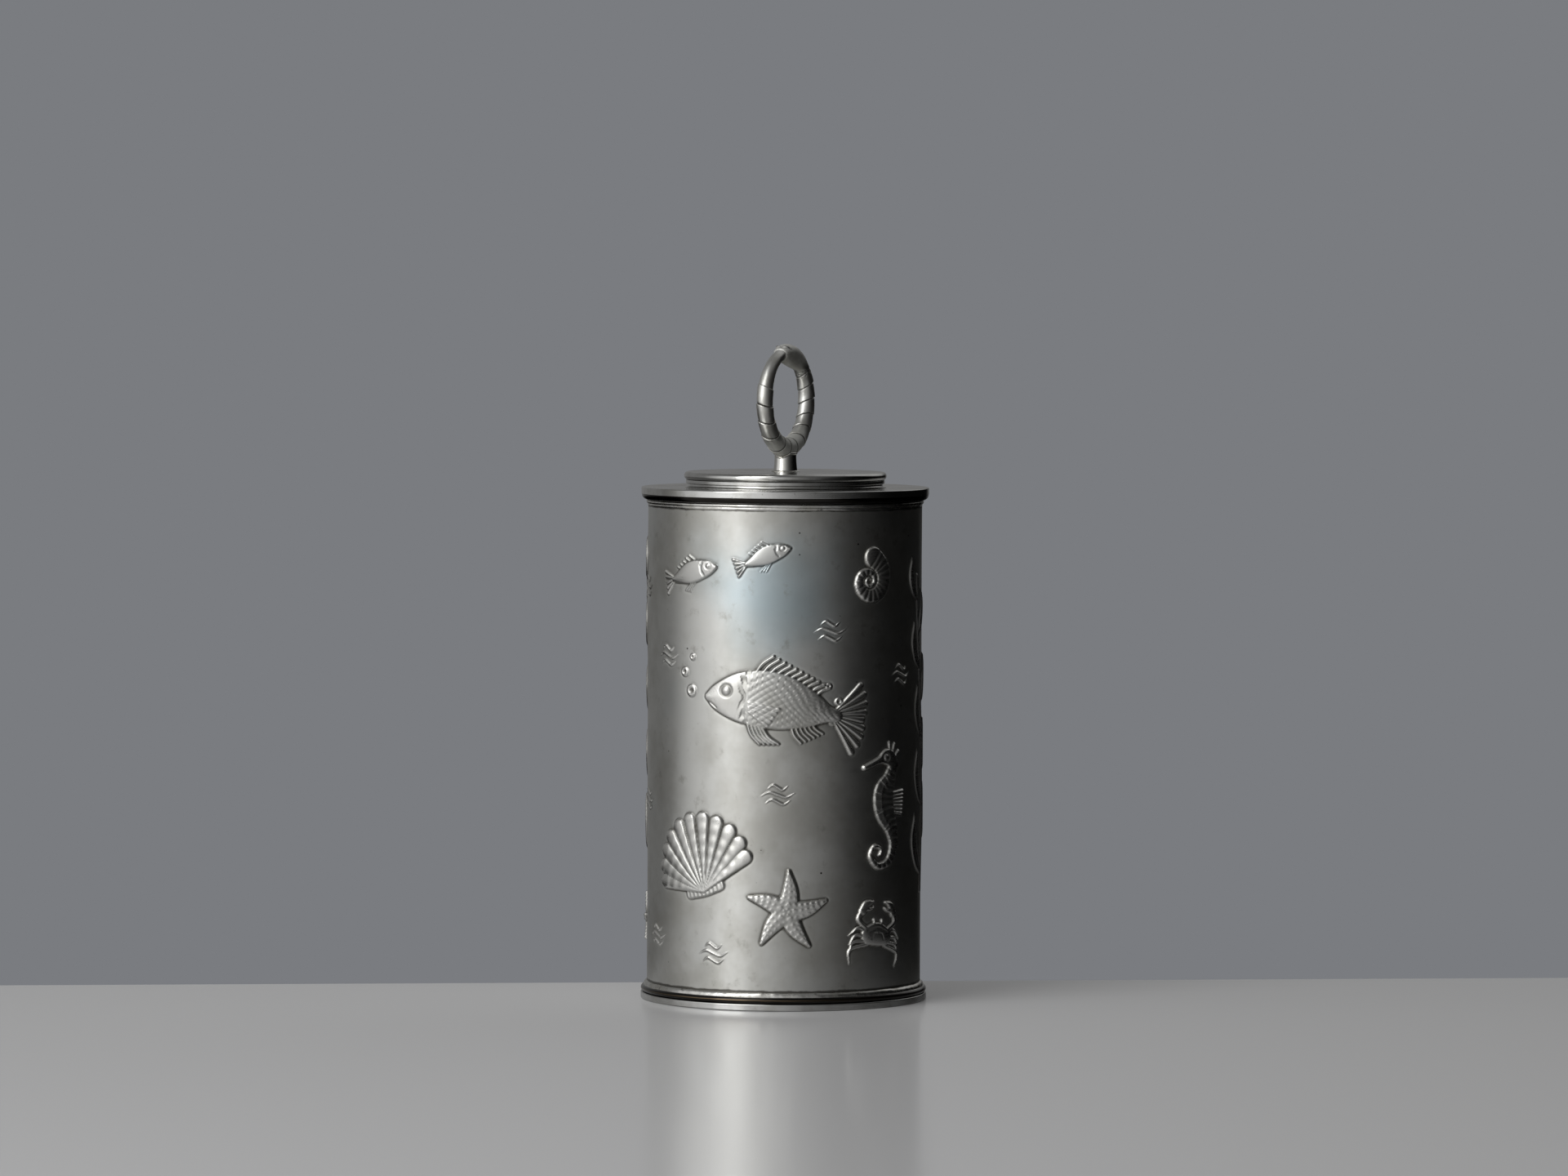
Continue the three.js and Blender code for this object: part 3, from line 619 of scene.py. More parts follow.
def wall_panel(name, columns):
    """One closed piece of the wall between two columns of the drawing."""
    radii = WALL_RADIUS + relief[:, columns]
    rows, count = radii.shape
    outside = np.empty((rows, count, 3))
    outside[..., 0] = radii * radial[columns, 0]
    outside[..., 1] = radii * radial[columns, 1]
    outside[..., 2] = (wall_foot + up)[:, None]
    inside = np.empty((2, count, 3))
    inside[..., :2] = inner_radius * radial[columns]
    inside[0, :, 2] = wall_foot
    inside[1, :, 2] = wall_foot + wall_height
    vertices = np.concatenate([outside.reshape(-1, 3), inside.reshape(-1, 3)]) * MM
    first = (np.arange(rows - 1)[:, None] * count + np.arange(count - 1)[None, :]).ravel()
    faces = np.column_stack([first, first + 1, first + 1 + count, first + count]).tolist()
    top, foot_in = (rows - 1) * count, rows * count
    top_in = foot_in + count
    for i in range(count - 1):
        faces.append((foot_in + i + 1, foot_in + i, top_in + i, top_in + i + 1))
        faces.append((i, foot_in + i, foot_in + i + 1, i + 1))
        faces.append((top + i, top + i + 1, top_in + i + 1, top_in + i))
    edge = [row * count for row in range(rows)]
    faces.append(edge + [top_in, foot_in])
    faces.append([foot_in + count - 1, top_in + count - 1] + [i + count - 1 for i in reversed(edge)])
    mesh = bpy.data.meshes.new(name)
    mesh.from_pydata(vertices, [], faces)
    mesh.polygons.foreach_set("use_smooth", np.ones(len(faces), bool))
    inward = np.concatenate([-radial[columns], np.zeros((count, 1))], axis=1)
    mesh.normals_split_custom_set_from_vertices(
        np.concatenate([normals[:, columns].reshape(-1, 3), inward, inward])
    )
    for label, field in (("hollow", hollow), ("raised", raised)):
        values = np.zeros(len(vertices), np.float32)
        values[:rows * count] = field[:, columns].ravel()
        mesh.attributes.new(label, "FLOAT", "POINT").data.foreach_set("value", values)
    return new_object(name, mesh)


def place_piece(piece, body, material, slot, *nodes):
    """Gives a finished piece its finish, its body and the solids that it stands for."""
    if material:
        piece.data.materials.clear()
        piece.data.materials.append(material)
    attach(piece, body)
    if nodes:
        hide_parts(*nodes)


def summed(tree, total, parts):
    """The total with each pattern added to it by its weight."""
    for pattern, weight in parts:
        total = add_node(
            tree, "ShaderNodeMath", operation="MULTIPLY_ADD", _0=pattern, _1=weight, _2=total
        )[0]
    return total


BUMP_STRENGTH = 0.5


def bare_metal(tree, colour, tints, roughness, gloss, relief, relief_depth):
    """Ends a metal's finish. A tint is a pattern, the values at which it starts and is full, its
    share there and its colour. Gloss and relief are patterns, each with its weight."""
    tone = linear(colour)
    for pattern, start, end, share, tint in tints:
        tone = tinted(tree, tone, pattern, start, end, linear(tint), share)
    roughness = summed(tree, roughness, gloss)
    height = summed(tree, 0.0, relief)
    bump = add_node(
        tree, "ShaderNodeBump", Height=height, Strength=BUMP_STRENGTH, Distance=relief_depth
    )[0]
    shader = add_node(
        tree, "ShaderNodeBsdfPrincipled", Base_Color=tone, Metallic=1.0, Roughness=roughness,
        Normal=bump,
    )[0]
    add_node(tree, "ShaderNodeOutputMaterial", Surface=shader)


# Cast pewter sheet, brushed and then handled for a century. It is a warm grey metal with a satin
# gloss. Thin oxide clouds it and tints part of its upper front blue, dirt keeps to the hollows,
# the pits and the two joints, and the high parts of the relief are rubbed bright. The brush lines
# are drawn coarser than they are, so that they show. Widths and lengths are in millimetres.
BRUSH_WIDTH = 0.3125
BRUSH_LENGTH = 14.3
PIT_SPACING = 4.76
PITTED = 0.28  # the share of places that have a pit
PIT_REACH = 0.11  # the largest pit's radius, as a share of the spacing
PIT_SLOPE = 0.04
BLOOM_MIDDLE = (-43, -13, 137)
BLOOM_REACH = 36
BLOOM_CORE = 4
BLOOM_WEIGHT = 0.5
JOINT_DIRT = 3.4  # how far dirt reaches from each joint
DIRT_FADE = 0.5
DIRT_RAGGED = 1.2
sheet_pewter, tree, place = new_finish("cast_pewter_sheet_satin")
in_hollow = add_node(tree, "ShaderNodeAttribute", attribute_name="hollow")["Fac"]
on_high = add_node(tree, "ShaderNodeAttribute", attribute_name="raised")["Fac"]
shifted = add_node(tree, "ShaderNodeMapping", Vector=place, Location=(0.3, 0.1, 0.7))[0]
slim = BRUSH_WIDTH / BRUSH_LENGTH
drawn_out = add_node(tree, "ShaderNodeMapping", Vector=place, Scale=(slim, slim, 1))[0]
clouds, blue_clouds, stains, brushing = [
    add_node(
        tree, "ShaderNodeTexNoise",
        Vector=where, Scale=1 / (width * MM), Detail=detail, Roughness=rough,
    )[0]
    for where, width, detail, rough in (
        (place, 23.8, 4, 0.6),
        (shifted, 41.7, 3, 0.5),
        (place, 6.25, 6, 0.65),
        (drawn_out, BRUSH_WIDTH, 3, 0.7),
    )
]
pit_cells = add_node(tree, "ShaderNodeTexVoronoi", Vector=place, Scale=1 / (PIT_SPACING * MM))
pit_pick = add_node(tree, "ShaderNodeSeparateColor", Color=pit_cells["Color"])[0]
pit_size = add_node(
    tree, "ShaderNodeMapRange", Value=pit_pick, From_Min=1 - PITTED, To_Max=PIT_REACH
)[0]
pits = add_node(
    tree, "ShaderNodeMath", operation="SUBTRACT", _0=pit_size, _1=pit_cells["Distance"]
)[0]
pits = add_node(tree, "ShaderNodeMapRange", Value=pits, From_Max=PIT_SLOPE)[0]
bloom_middle = [c * MM for c in BLOOM_MIDDLE]
from_bloom = add_node(
    tree, "ShaderNodeVectorMath", operation="DISTANCE", _0=place, _1=bloom_middle
)["Value"]
in_bloom = add_node(
    tree, "ShaderNodeMapRange",
    Value=from_bloom, From_Min=BLOOM_REACH * MM, From_Max=BLOOM_CORE * MM, To_Max=BLOOM_WEIGHT,
)[0]
bloom = summed(tree, in_bloom, ((blue_clouds, 0.75),))
middle_height = (low.z + high.z) / 2
joint_reach = (high.z - low.z) / 2 - JOINT_DIRT * MM
heights = add_node(tree, "ShaderNodeSeparateXYZ", Vector=place)["Z"]
from_middle = add_node(
    tree, "ShaderNodeMath", operation="SUBTRACT", _0=heights, _1=middle_height
)[0]
from_middle = add_node(tree, "ShaderNodeMath", operation="ABSOLUTE", _0=from_middle)[0]
near_joint = summed(tree, from_middle, ((stains, DIRT_RAGGED * MM),))
bare_metal(
    tree,
    "cfcfcb",
    tints=(
        (clouds, 0.38, 0.68, 1.0, "b8b7b1"),
        (bloom, 0.42, 0.86, 0.75, "afc0c7"),
        (stains, 0.57, 0.74, 0.5, "8d8a82"),
        (on_high, 0.05, 0.6, 0.8, "dad9d5"),
        (in_hollow, 0.1, 0.9, 0.75, "46423b"),
        (near_joint, joint_reach - DIRT_FADE * MM, joint_reach, 0.85, "3a362f"),
        (pits, 0.0, 1.0, 1.0, "262320"),
    ),
    roughness=0.15,
    gloss=((clouds, 0.12), (brushing, 0.16), (stains, 0.12), (in_hollow, 0.2), (on_high, -0.07)),
    relief=((brushing, 0.6), (stains, 0.6), (pits, -1.0)),
    relief_depth=0.02 * MM,
)

for i in range(PANELS):
    panel = wall_panel(f"wall_panel_{i + 1}", slice(i * PANEL_COLUMNS, (i + 1) * PANEL_COLUMNS + 1))
    place_piece(panel, "jar", sheet_pewter, "pewter_sheet", "wall")

# Solder. Soft tin solder was run along each joint and left as it set: bright, lumpy, with a ragged
# foot and dirt in its dimples. Each bead is a round section swept along its joint, with its hidden
# side sunk in the pieces that it joins.
soft_solder, tree, place = new_finish("soft_solder_as_set")
dimples, smears = [
    add_node(
        tree, "ShaderNodeTexNoise",
        Vector=place, Scale=1 / (width * MM), Detail=detail, Roughness=rough,
    )[0]
    for width, detail, rough in ((2.38, 4, 0.6), (7.69, 3, 0.5))
]
bare_metal(
    tree,
    "dcdbd7",
    tints=((smears, 0.4, 0.65, 1.0, "bebcb5"), (dimples, 0.6, 0.72, 0.7, "4b4740")),
    roughness=0.1,
    gloss=((smears, 0.14), (dimples, 0.16)),
    relief=((dimples, 1.0),),
    relief_depth=0.12 * MM,
)


def new_shape(name, sizes):
    """A tree that shapes a piece from its first mesh and from named sizes, with its inputs and
    each size's key in a modifier."""
    tree = bpy.data.node_groups.new(name, "GeometryNodeTree")
    sockets = tree.interface
    sockets.new_socket("Start", in_out="INPUT", socket_type="NodeSocketGeometry")
    keys = [
        sockets.new_socket(size, in_out="INPUT", socket_type="NodeSocketFloat").identifier
        for size in sizes
    ]
    sockets.new_socket("Shape", in_out="OUTPUT", socket_type="NodeSocketGeometry")
    return tree, add_node(tree, "NodeGroupInput"), keys


def end_shape(tree, shape, material):
    """Ends a shape's tree with a smooth, real mesh in its finish."""
    for kind, settings in (
        ("GeometryNodeSetShadeSmooth", {}),
        ("GeometryNodeRealizeInstances", {}),
        ("GeometryNodeSetMaterial", {"Material": material}),
    ):
        shape = add_node(tree, kind, Geometry=shape, **settings)[0]
    add_node(tree, "NodeGroupOutput", Shape=shape)


def settle(piece):
    """Turns what a piece's modifiers make into its own mesh."""
    graph = bpy.context.evaluated_depsgraph_get()
    made = bpy.data.meshes.new_from_object(
        piece.evaluated_get(graph), preserve_all_data_layers=True, depsgraph=graph
    )
    piece.modifiers.clear()
    piece.data = made


def give_shape(piece, tree, keys, sizes):
    """Shapes a piece by a tree, with its sizes in the order of the tree's keys."""
    modifier = piece.modifiers.new("shape", "NODES")
    modifier.node_group = tree
    for key, size in zip(keys, sizes):
        modifier[key] = float(size)
    settle(piece)


BEAD_SIDES = 18
bead_tree, given, bead_keys = new_shape(
    "solder_bead", ("Width", "Height", "Lump", "Lump Size", "Seed")
)
path = add_node(bead_tree, "GeometryNodeMeshToCurve", Mesh=given["Start"])[0]
path = add_node(bead_tree, "GeometryNodeSetCurveNormal", mode="Z_UP", Curve=path)[0]
circle = add_node(
    bead_tree, "GeometryNodeCurvePrimitiveCircle", Resolution=BEAD_SIDES, Radius=1.0
)[0]
section = add_node(
    bead_tree, "ShaderNodeCombineXYZ", X=given["Width"], Y=given["Height"], Z=1.0
)[0]
section = add_node(bead_tree, "GeometryNodeTransform", Geometry=circle, Scale=section)[0]
bead = add_node(
    bead_tree, "GeometryNodeCurveToMesh", Curve=path, Profile_Curve=section, Fill_Caps=True
)[0]
often = add_node(
    bead_tree, "ShaderNodeMath", operation="DIVIDE", _0=1.0, _1=given["Lump Size"]
)[0]
lumps = add_node(
    bead_tree, "ShaderNodeTexNoise", noise_dimensions="4D", W=given["Seed"], Scale=often, Detail=2.0
)[0]
lumps = add_node(bead_tree, "ShaderNodeMath", operation="SUBTRACT", _0=lumps, _1=0.5)[0]
lumps = add_node(bead_tree, "ShaderNodeMath", operation="MULTIPLY", _0=lumps, _1=given["Lump"])[0]
facing = add_node(bead_tree, "GeometryNodeInputNormal")[0]
push = add_node(bead_tree, "ShaderNodeVectorMath", operation="SCALE", _0=facing, Scale=lumps)[0]
bead = add_node(bead_tree, "GeometryNodeSetPosition", Geometry=bead, Offset=push)[0]
end_shape(bead_tree, bead, soft_solder)


def solder_bead(name, body, points, closed, sizes, *nodes):
    """A bead along the points, in millimetres. The sizes are its width, height, lump, lump size
    and seed, as the tree takes them."""
    mesh = bpy.data.meshes.new(name)
    edges = [(i, i + 1) for i in range(len(points) - 1)]
    if closed:
        edges.append((len(points) - 1, 0))
    mesh.from_pydata([[c * MM for c in point] for point in points], edges, [])
    bead = new_object(name, mesh)
    give_shape(bead, bead_tree, bead_keys, [size * MM for size in sizes[:-1]] + [sizes[-1]])
    place_piece(bead, body, None, "solder", *nodes)


def ring_of(radius, height, count=720):
    turns = np.linspace(0, 2 * math.pi, count, endpoint=False)
    return [(radius * math.cos(a), radius * math.sin(a), height) for a in turns]


SEAM_STEPS = 420
SEAM_BEAD = (0.55, 0.55, 0.22, 3)
for name, radius, seed in (
    ("wall_seam_bead", WALL_RADIUS - 0.25, 1),
    ("wall_seam_inside", inner_radius + 0.2, 2),
):
    seam_line = [(0, radius, wall_foot + h) for h in np.linspace(0, wall_height, SEAM_STEPS)]
    solder_bead(name, "jar", seam_line, False, SEAM_BEAD + (seed,), "wall_seam")

# Base. A pewter disc, turned with a hollow below so that it stands on its outer ring, closes the
# wall's foot. A half-round wire lies on it round the wall, and solder fills the corner above.
TURNED_COLUMNS = 288
EDGE_SUPPORT = 0.12  # a flat's last stretch beside a rounding, which keeps the flat's shading flat
ROUNDING_STEP = math.radians(7)
SHARP = math.radians(35)
ARC_POINTS = 27


def skinned(name, rings, closed):
    """A piece with a skin over rings of points, in millimetres, each ring joined to the next and
    the last to the first. Each ring is closed too, or has both its ends on the jar's axis."""
    mesh = bmesh.new()
    rings = [[mesh.verts.new([c * MM for c in point]) for point in ring] for ring in rings]
    for ring, following in zip(rings, rings[1:] + rings[:1]):
        for k in range(len(ring) if closed else len(ring) - 1):
            n = (k + 1) % len(ring)
            mesh.faces.new((ring[k], following[k], following[n], ring[n]))
    bmesh.ops.remove_doubles(mesh, verts=mesh.verts[:], dist=1e-7)
    bmesh.ops.recalc_face_normals(mesh, faces=mesh.faces[:])
    data = bpy.data.meshes.new(name)
    mesh.to_mesh(data)
    mesh.free()
    return new_object(name, data)


def turned(name, corners):
    """A closed piece turned on the jar's axis. Each corner is its radius, its height and the
    radius that rounds it, in millimetres."""
    outline = []
    for i, (radius, height, rounding) in enumerate(corners):
        corner = Vector((radius, height))
        if not rounding:
            outline.append(corner)
            continue
        back = (Vector(corners[i - 1][:2]) - corner).normalized()
        on = (Vector(corners[(i + 1) % len(corners)][:2]) - corner).normalized()
        half = back.angle(on) / 2
        reach = rounding / math.tan(half)
        centre = corner + (back + on).normalized() * rounding / math.sin(half)
        outline.append(corner + back * (reach + EDGE_SUPPORT))
        start = corner + back * reach - centre
        end = corner + on * reach - centre
        steps = max(3, round((math.pi - 2 * half) / ROUNDING_STEP))
        for k in range(steps + 1):
            outline.append(centre + start.slerp(end, k / steps) * rounding)
        outline.append(corner + on * (reach + EDGE_SUPPORT))
    turns = np.linspace(0, 2 * math.pi, TURNED_COLUMNS, endpoint=False)
    rings = [[(p.x * math.cos(a), p.x * math.sin(a), p.y) for p in outline] for a in turns]
    piece = skinned(name, rings, closed=outline[0].x > 0)
    piece.data.shade_smooth()
    piece.data.set_sharp_from_angle(angle=SHARP)
    return piece


def turned_size(node):
    """A turned solid's radius, foot and top, in millimetres."""
    low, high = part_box(node)
    return high.x / MM, low.z / MM, high.z / MM


def rounded_edge(reach, foot, top, quarter=False):
    """Corners along a full round edge from its foot to its top, or along a quarter-round one."""
    half = top - foot if quarter else (top - foot) / 2
    arc = [
        (reach - half + half * math.cos(a), foot + half + half * math.sin(a), 0)
        for a in np.radians(np.linspace(-90, 0 if quarter else 90, ARC_POINTS))
    ]
    return [(arc[0][0] - EDGE_SUPPORT, foot, 0)] + arc


HIGHLIGHT_LINE_RISE = 0.3  # how steeply the painted highlight line faces up
LATHE_WIDTH = 0.667


def turned_pewter(name, painted_shade, unshaded_above, fully_shaded_below, painted_highlight=0.0):
    """Turned pewter. Fine lathe lines run round it, drawn coarser than they are so that they show,
    and handling has clouded it. What faces down is darkened with painted shade, by how steeply it
    does, save for a lighter brown line of painted highlight."""
    material, tree, place = new_finish(name)
    heights = add_node(tree, "ShaderNodeSeparateXYZ", Vector=place)["Z"]
    flat = add_node(
        tree, "ShaderNodeVectorMath", operation="MULTIPLY", _0=place, _1=(1, 1, 0)
    )[0]
    radius = add_node(tree, "ShaderNodeVectorMath", operation="LENGTH", _0=flat)["Value"]
    lathe = add_node(tree, "ShaderNodeCombineXYZ", X=radius, Y=heights, Z=0.0)[0]
    lines, clouds, specks = [
        add_node(
            tree, "ShaderNodeTexNoise",
            Vector=where, Scale=1 / (width * MM), Detail=detail, Roughness=rough,
        )[0]
        for where, width, detail, rough in (
            (lathe, LATHE_WIDTH, 5, 0.7), (place, 14.3, 4, 0.6), (place, 2.38, 5, 0.7),
        )
    ]
    normal = add_node(tree, "ShaderNodeNewGeometry")["Normal"]
    rise = add_node(tree, "ShaderNodeSeparateXYZ", Vector=normal)["Z"]
    rise = summed(tree, rise, ((specks, 0.3),))
    from_painted_highlight = add_node(tree, "ShaderNodeMath", operation="SUBTRACT", _0=rise, _1=HIGHLIGHT_LINE_RISE)[0]
    from_painted_highlight = add_node(tree, "ShaderNodeMath", operation="ABSOLUTE", _0=from_painted_highlight)[0]
    bare_metal(
        tree,
        "d2d2d0",
        tints=(
            (clouds, 0.4, 0.68, 1.0, "b6b5b0"),
            (specks, 0.6, 0.74, 0.6, "6f6b63"),
            # painted shade: faces darken by how steeply they point down
            (rise, unshaded_above, fully_shaded_below, painted_shade, "211d19"),
            # painted highlight: a lighter brown line where faces rise at one steepness
            (from_painted_highlight, 0.14, 0.03, painted_highlight, "7d6a50"),
        ),
        roughness=0.08,
        gloss=((lines, 0.05), (clouds, 0.1)),
        relief=((lines, 0.5), (specks, 0.4)),
        relief_depth=0.02 * MM,
    )
    return material


# Each turned finish paints shade on what faces down; this satin one only a little.
satin_pewter = turned_pewter("turned_pewter_satin", painted_shade=0.35, unshaded_above=0.15, fully_shaded_below=-0.25)
# painted shade: nearly black on what faces down, with a painted brown highlight line
wire_dark_shade_pewter = turned_pewter(
    "turned_pewter_painted_shade_below", painted_shade=0.97, unshaded_above=1.3, fully_shaded_below=0.95, painted_highlight=0.8
)
# painted shade: black on nearly every face, for the rim skirt
skirt_black_shade_pewter = turned_pewter(
    "turned_pewter_painted_black_shade", painted_shade=0.97, unshaded_above=1.35, fully_shaded_below=0.75
)
base_radius, _, base_top = turned_size("base_plate")
FOOT_HOLLOW = 0.5
FOOT_INSET = 4.2
hollow_edge = WALL_RADIUS - FOOT_INSET
base_plate = turned("base_disc", [
    (0, FOOT_HOLLOW, 0),
    (hollow_edge - FOOT_HOLLOW, FOOT_HOLLOW, 0.4),
    (hollow_edge, 0, 0.2),
    (base_radius, 0, 0.35),
    (base_radius, base_top, 0.35),
    (0, base_top, 0),
])
place_piece(base_plate, "jar", satin_pewter, "pewter_turned", "base_plate")

ring_radius, _, ring_top = turned_size("base_moulding")
PRESS_FIT = 0.15
ring_bore = WALL_RADIUS + PRESS_FIT
wire_edge = rounded_edge(ring_radius, base_top, ring_top)
base_wire = turned("base_wire", [(ring_bore, base_top, 0)] + wire_edge + [(ring_bore, ring_top, 0)])
# painted shade: the wire darkens below, with a painted brown highlight line
place_piece(base_wire, "jar", wire_dark_shade_pewter, "pewter_turned", "base_moulding")
base_bead = (1.05, 1.5, 0.46, 4, 3)
solder_bead(
    "base_solder_bead", "jar", ring_of(WALL_RADIUS, ring_top), True, base_bead, "base_solder"
)

# Top. A turned plate caps the wall. Its edge is a plain band over a quarter-round skirt, painted
# black as shade, and solder runs under the skirt in a bead and a thin film. The collar is a short
# tube with a flared lip, pressed into its mouth.
rim_radius, _, plate_top = turned_size("top_plate")
wall_top = wall_foot + wall_height
SKIRT = 1.85
SKIRT_INSET = 0.12
NECK_RADIUS = 31.3
plate_bore = NECK_RADIUS + PRESS_FIT
top_cap = turned("top_cap", [
    (plate_bore, wall_top, 0),
    (rim_radius, wall_top, 0.12),
    (rim_radius, plate_top, 0.4),
    (plate_bore, plate_top, 0),
])
place_piece(top_cap, "jar", satin_pewter, "pewter_turned", "top_plate")
skirt_foot = wall_top - SKIRT
skirt_edge = rounded_edge(rim_radius - SKIRT_INSET, skirt_foot, wall_top, quarter=True)
rim_skirt = turned(
    "rim_skirt", [(ring_bore, wall_top, 0), (ring_bore, skirt_foot, 0)] + skirt_edge[1:]
)
# painted shade: the skirt is coloured nearly black all over
place_piece(rim_skirt, "jar", skirt_black_shade_pewter, "pewter_turned", "top_plate")
for name, radius, height, sizes in (
    ("top_solder_bead", WALL_RADIUS, skirt_foot - 0.6, (0.62, 0.65, 0.26, 7, 4)),
    ("top_solder_film", WALL_RADIUS - 0.2, skirt_foot - 1.55, (0.34, 0.6, 0.34, 6, 5)),
):
    solder_bead(name, "jar", ring_of(radius, height), True, sizes, "top_solder")

lip_radius, collar_foot, collar_top = turned_size("collar")
MOUTH_RADIUS = 30
LIP_FLARE = 1.1
LIP_STEP = 0.12
collar = turned("mouth_collar", [
    (MOUTH_RADIUS, collar_foot, 0.2),
    (NECK_RADIUS, collar_foot, 0.2),
    (NECK_RADIUS, plate_top, 0),
    (lip_radius, plate_top, 0),
    (lip_radius, plate_top + LIP_STEP, 0),
    (lip_radius - LIP_FLARE, plate_top + LIP_STEP, 0.85),
    (lip_radius - LIP_FLARE, collar_top, 0.1),
    (MOUTH_RADIUS, collar_top, 0.4),
])
place_piece(collar, "jar", satin_pewter, "pewter_turned", "collar")

# Lid. A turned disc with a full round edge lies on a slightly smaller step plate, and a tube below
# them drops into the collar and keeps the lid from sliding off.
disc_radius, lid_foot, lid_top = turned_size("lid_disc")
lid_edge = rounded_edge(disc_radius, lid_foot, lid_top)
lid_edge.append((lid_edge[0][0], lid_top, 0))
lid_disc = turned("lid_plate", [(0, lid_foot, 0)] + lid_edge + [(0, lid_top, 0)])
place_piece(lid_disc, "lid", satin_pewter, "pewter_turned", "lid_disc")
step_radius, _, _ = turned_size("lid_step")
lid_step = turned("lid_step_plate", [
    (0, collar_top, 0),
    (step_radius, collar_top, 0.25),
    (step_radius, lid_foot, 0.1),
    (0, lid_foot, 0),
])
place_piece(lid_step, "lid", satin_pewter, "pewter_turned", "lid_step")
bezel_radius, bezel_foot, _ = turned_size("lid_bezel")
TUBE_WALL = 1.2
lid_bezel = turned("lid_tube", [
    (bezel_radius - TUBE_WALL, bezel_foot, 0.2),
    (bezel_radius, bezel_foot, 0.5),
    (bezel_radius, collar_top, 0),
    (bezel_radius - TUBE_WALL, collar_top, 0),
])
place_piece(lid_bezel, "lid", satin_pewter, "pewter_turned", "lid_bezel")

# Post. A short waisted post, cast and filed, stands in the lid's middle. Its top is hollowed to a
# saddle for the serpent, and solder holds it at both ends.
LOOP_RADIUS = 15.6
BODY_RADIUS = 2.62
BAND_STEP = 0.25
BELLY_SWELL = 0.5
SADDLE_GAP = 0.05
POST_HEIGHT = 4.6
WAIST_RADIUS = 3.48
POST_TAPER = 0.1
FOOT_FLARE = 0.5
CURVE_POINTS = 28
GROOVE_STEPS = 360
GROOVE_SIDES = 48
FOOT_BEAD_RADIUS = 3.95
SADDLE_BEAD_RADIUS = 3.5
SADDLE_BEAD_SUNK = 0.1
POST_BEAD_STEPS = 160


def cast_pewter(name, colour, roughness):
    """Pewter cast in sand and filed. It is grainy, dark in its grooves, and dull where no finger
    rubs it. The grain is drawn coarser than it is, so that it shows."""
    material, tree, place = new_finish(name)
    in_hollow = add_node(tree, "ShaderNodeAttribute", attribute_name="hollow")["Fac"]
    unrubbed = add_node(tree, "ShaderNodeAttribute", attribute_name="unrubbed")["Fac"]
    clouds, grain = [
        add_node(
            tree, "ShaderNodeTexNoise",
            Vector=place, Scale=1 / (width * MM), Detail=detail, Roughness=rough,
        )[0]
        for width, detail, rough in ((5.26, 5, 0.6), (0.714, 4, 0.7))
    ]
    bare_metal(
        tree,
        colour,
        tints=(
            (clouds, 0.38, 0.66, 1.0, "cdccc6"),
            (grain, 0.62, 0.78, 0.35, "6d6a62"),
            (in_hollow, 0.05, 0.9, 0.95, "2a2621"),
        ),
        roughness=roughness,
        gloss=((clouds, 0.14), (grain, 0.12), (in_hollow, 0.2), (unrubbed, 0.28)),
        relief=((clouds, 0.5), (grain, 0.5)),
        relief_depth=0.03 * MM,
    )
    return material


belly_radius = BODY_RADIUS + BAND_STEP + BELLY_SWELL
loop_centre = lid_top + POST_HEIGHT + belly_radius + LOOP_RADIUS
saddle_radius = belly_radius + SADDLE_GAP
post_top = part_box("finial_post")[1].z / MM
post_curve = [
    (WAIST_RADIUS + POST_TAPER * t + FOOT_FLARE * (1 - t) ** 2, lid_top + t * (post_top - lid_top), 0)
    for t in np.linspace(0, 1, CURVE_POINTS)
]
post = turned("handle_post", [(0, lid_top, 0)] + post_curve + [(0, post_top, 0)])
rings = []
for turn in np.linspace(0, 2 * math.pi, GROOVE_STEPS, endpoint=False):
    ring = []
    for way in np.linspace(0, 2 * math.pi, GROOVE_SIDES, endpoint=False):
        reach = LOOP_RADIUS + saddle_radius * math.cos(way)
        aside = saddle_radius * math.sin(way)
        ring.append((reach * math.cos(turn), aside, loop_centre + reach * math.sin(turn)))
    rings.append(ring)
saddle_groove = skinned("saddle_groove", rings, closed=True)
hollowing = post.modifiers.new("saddle", "BOOLEAN")
hollowing.operation = "DIFFERENCE"
hollowing.solver = "EXACT"
hollowing.object = saddle_groove
settle(post)
bpy.data.objects.remove(saddle_groove)
post.data.set_sharp_from_angle(angle=SHARP)
polished_cast = cast_pewter("cast_pewter_polished", "dcdbd7", roughness=0.01)
place_piece(post, "lid", polished_cast, "pewter_cast", "finial_post")
foot_bead = (0.7, 0.45, 0.35, 1.8, 6)
foot_line = ring_of(FOOT_BEAD_RADIUS, lid_top, POST_BEAD_STEPS)
solder_bead("post_foot_bead", "lid", foot_line, True, foot_bead, "post_solder")
lip_line = []
for x, y, _ in ring_of(SADDLE_BEAD_RADIUS, 0, POST_BEAD_STEPS):
    side = math.sqrt(max(saddle_radius ** 2 - y ** 2, 0))
    rise = loop_centre - math.sqrt((LOOP_RADIUS + side) ** 2 - x ** 2)
    lip_line.append((x, y, min(rise, post_top) - SADDLE_BEAD_SUNK))
lip_bead = (0.42, 0.42, 0.5, 1.6, 7)
solder_bead("saddle_bead", "lid", lip_line, True, lip_bead, "finial_post")

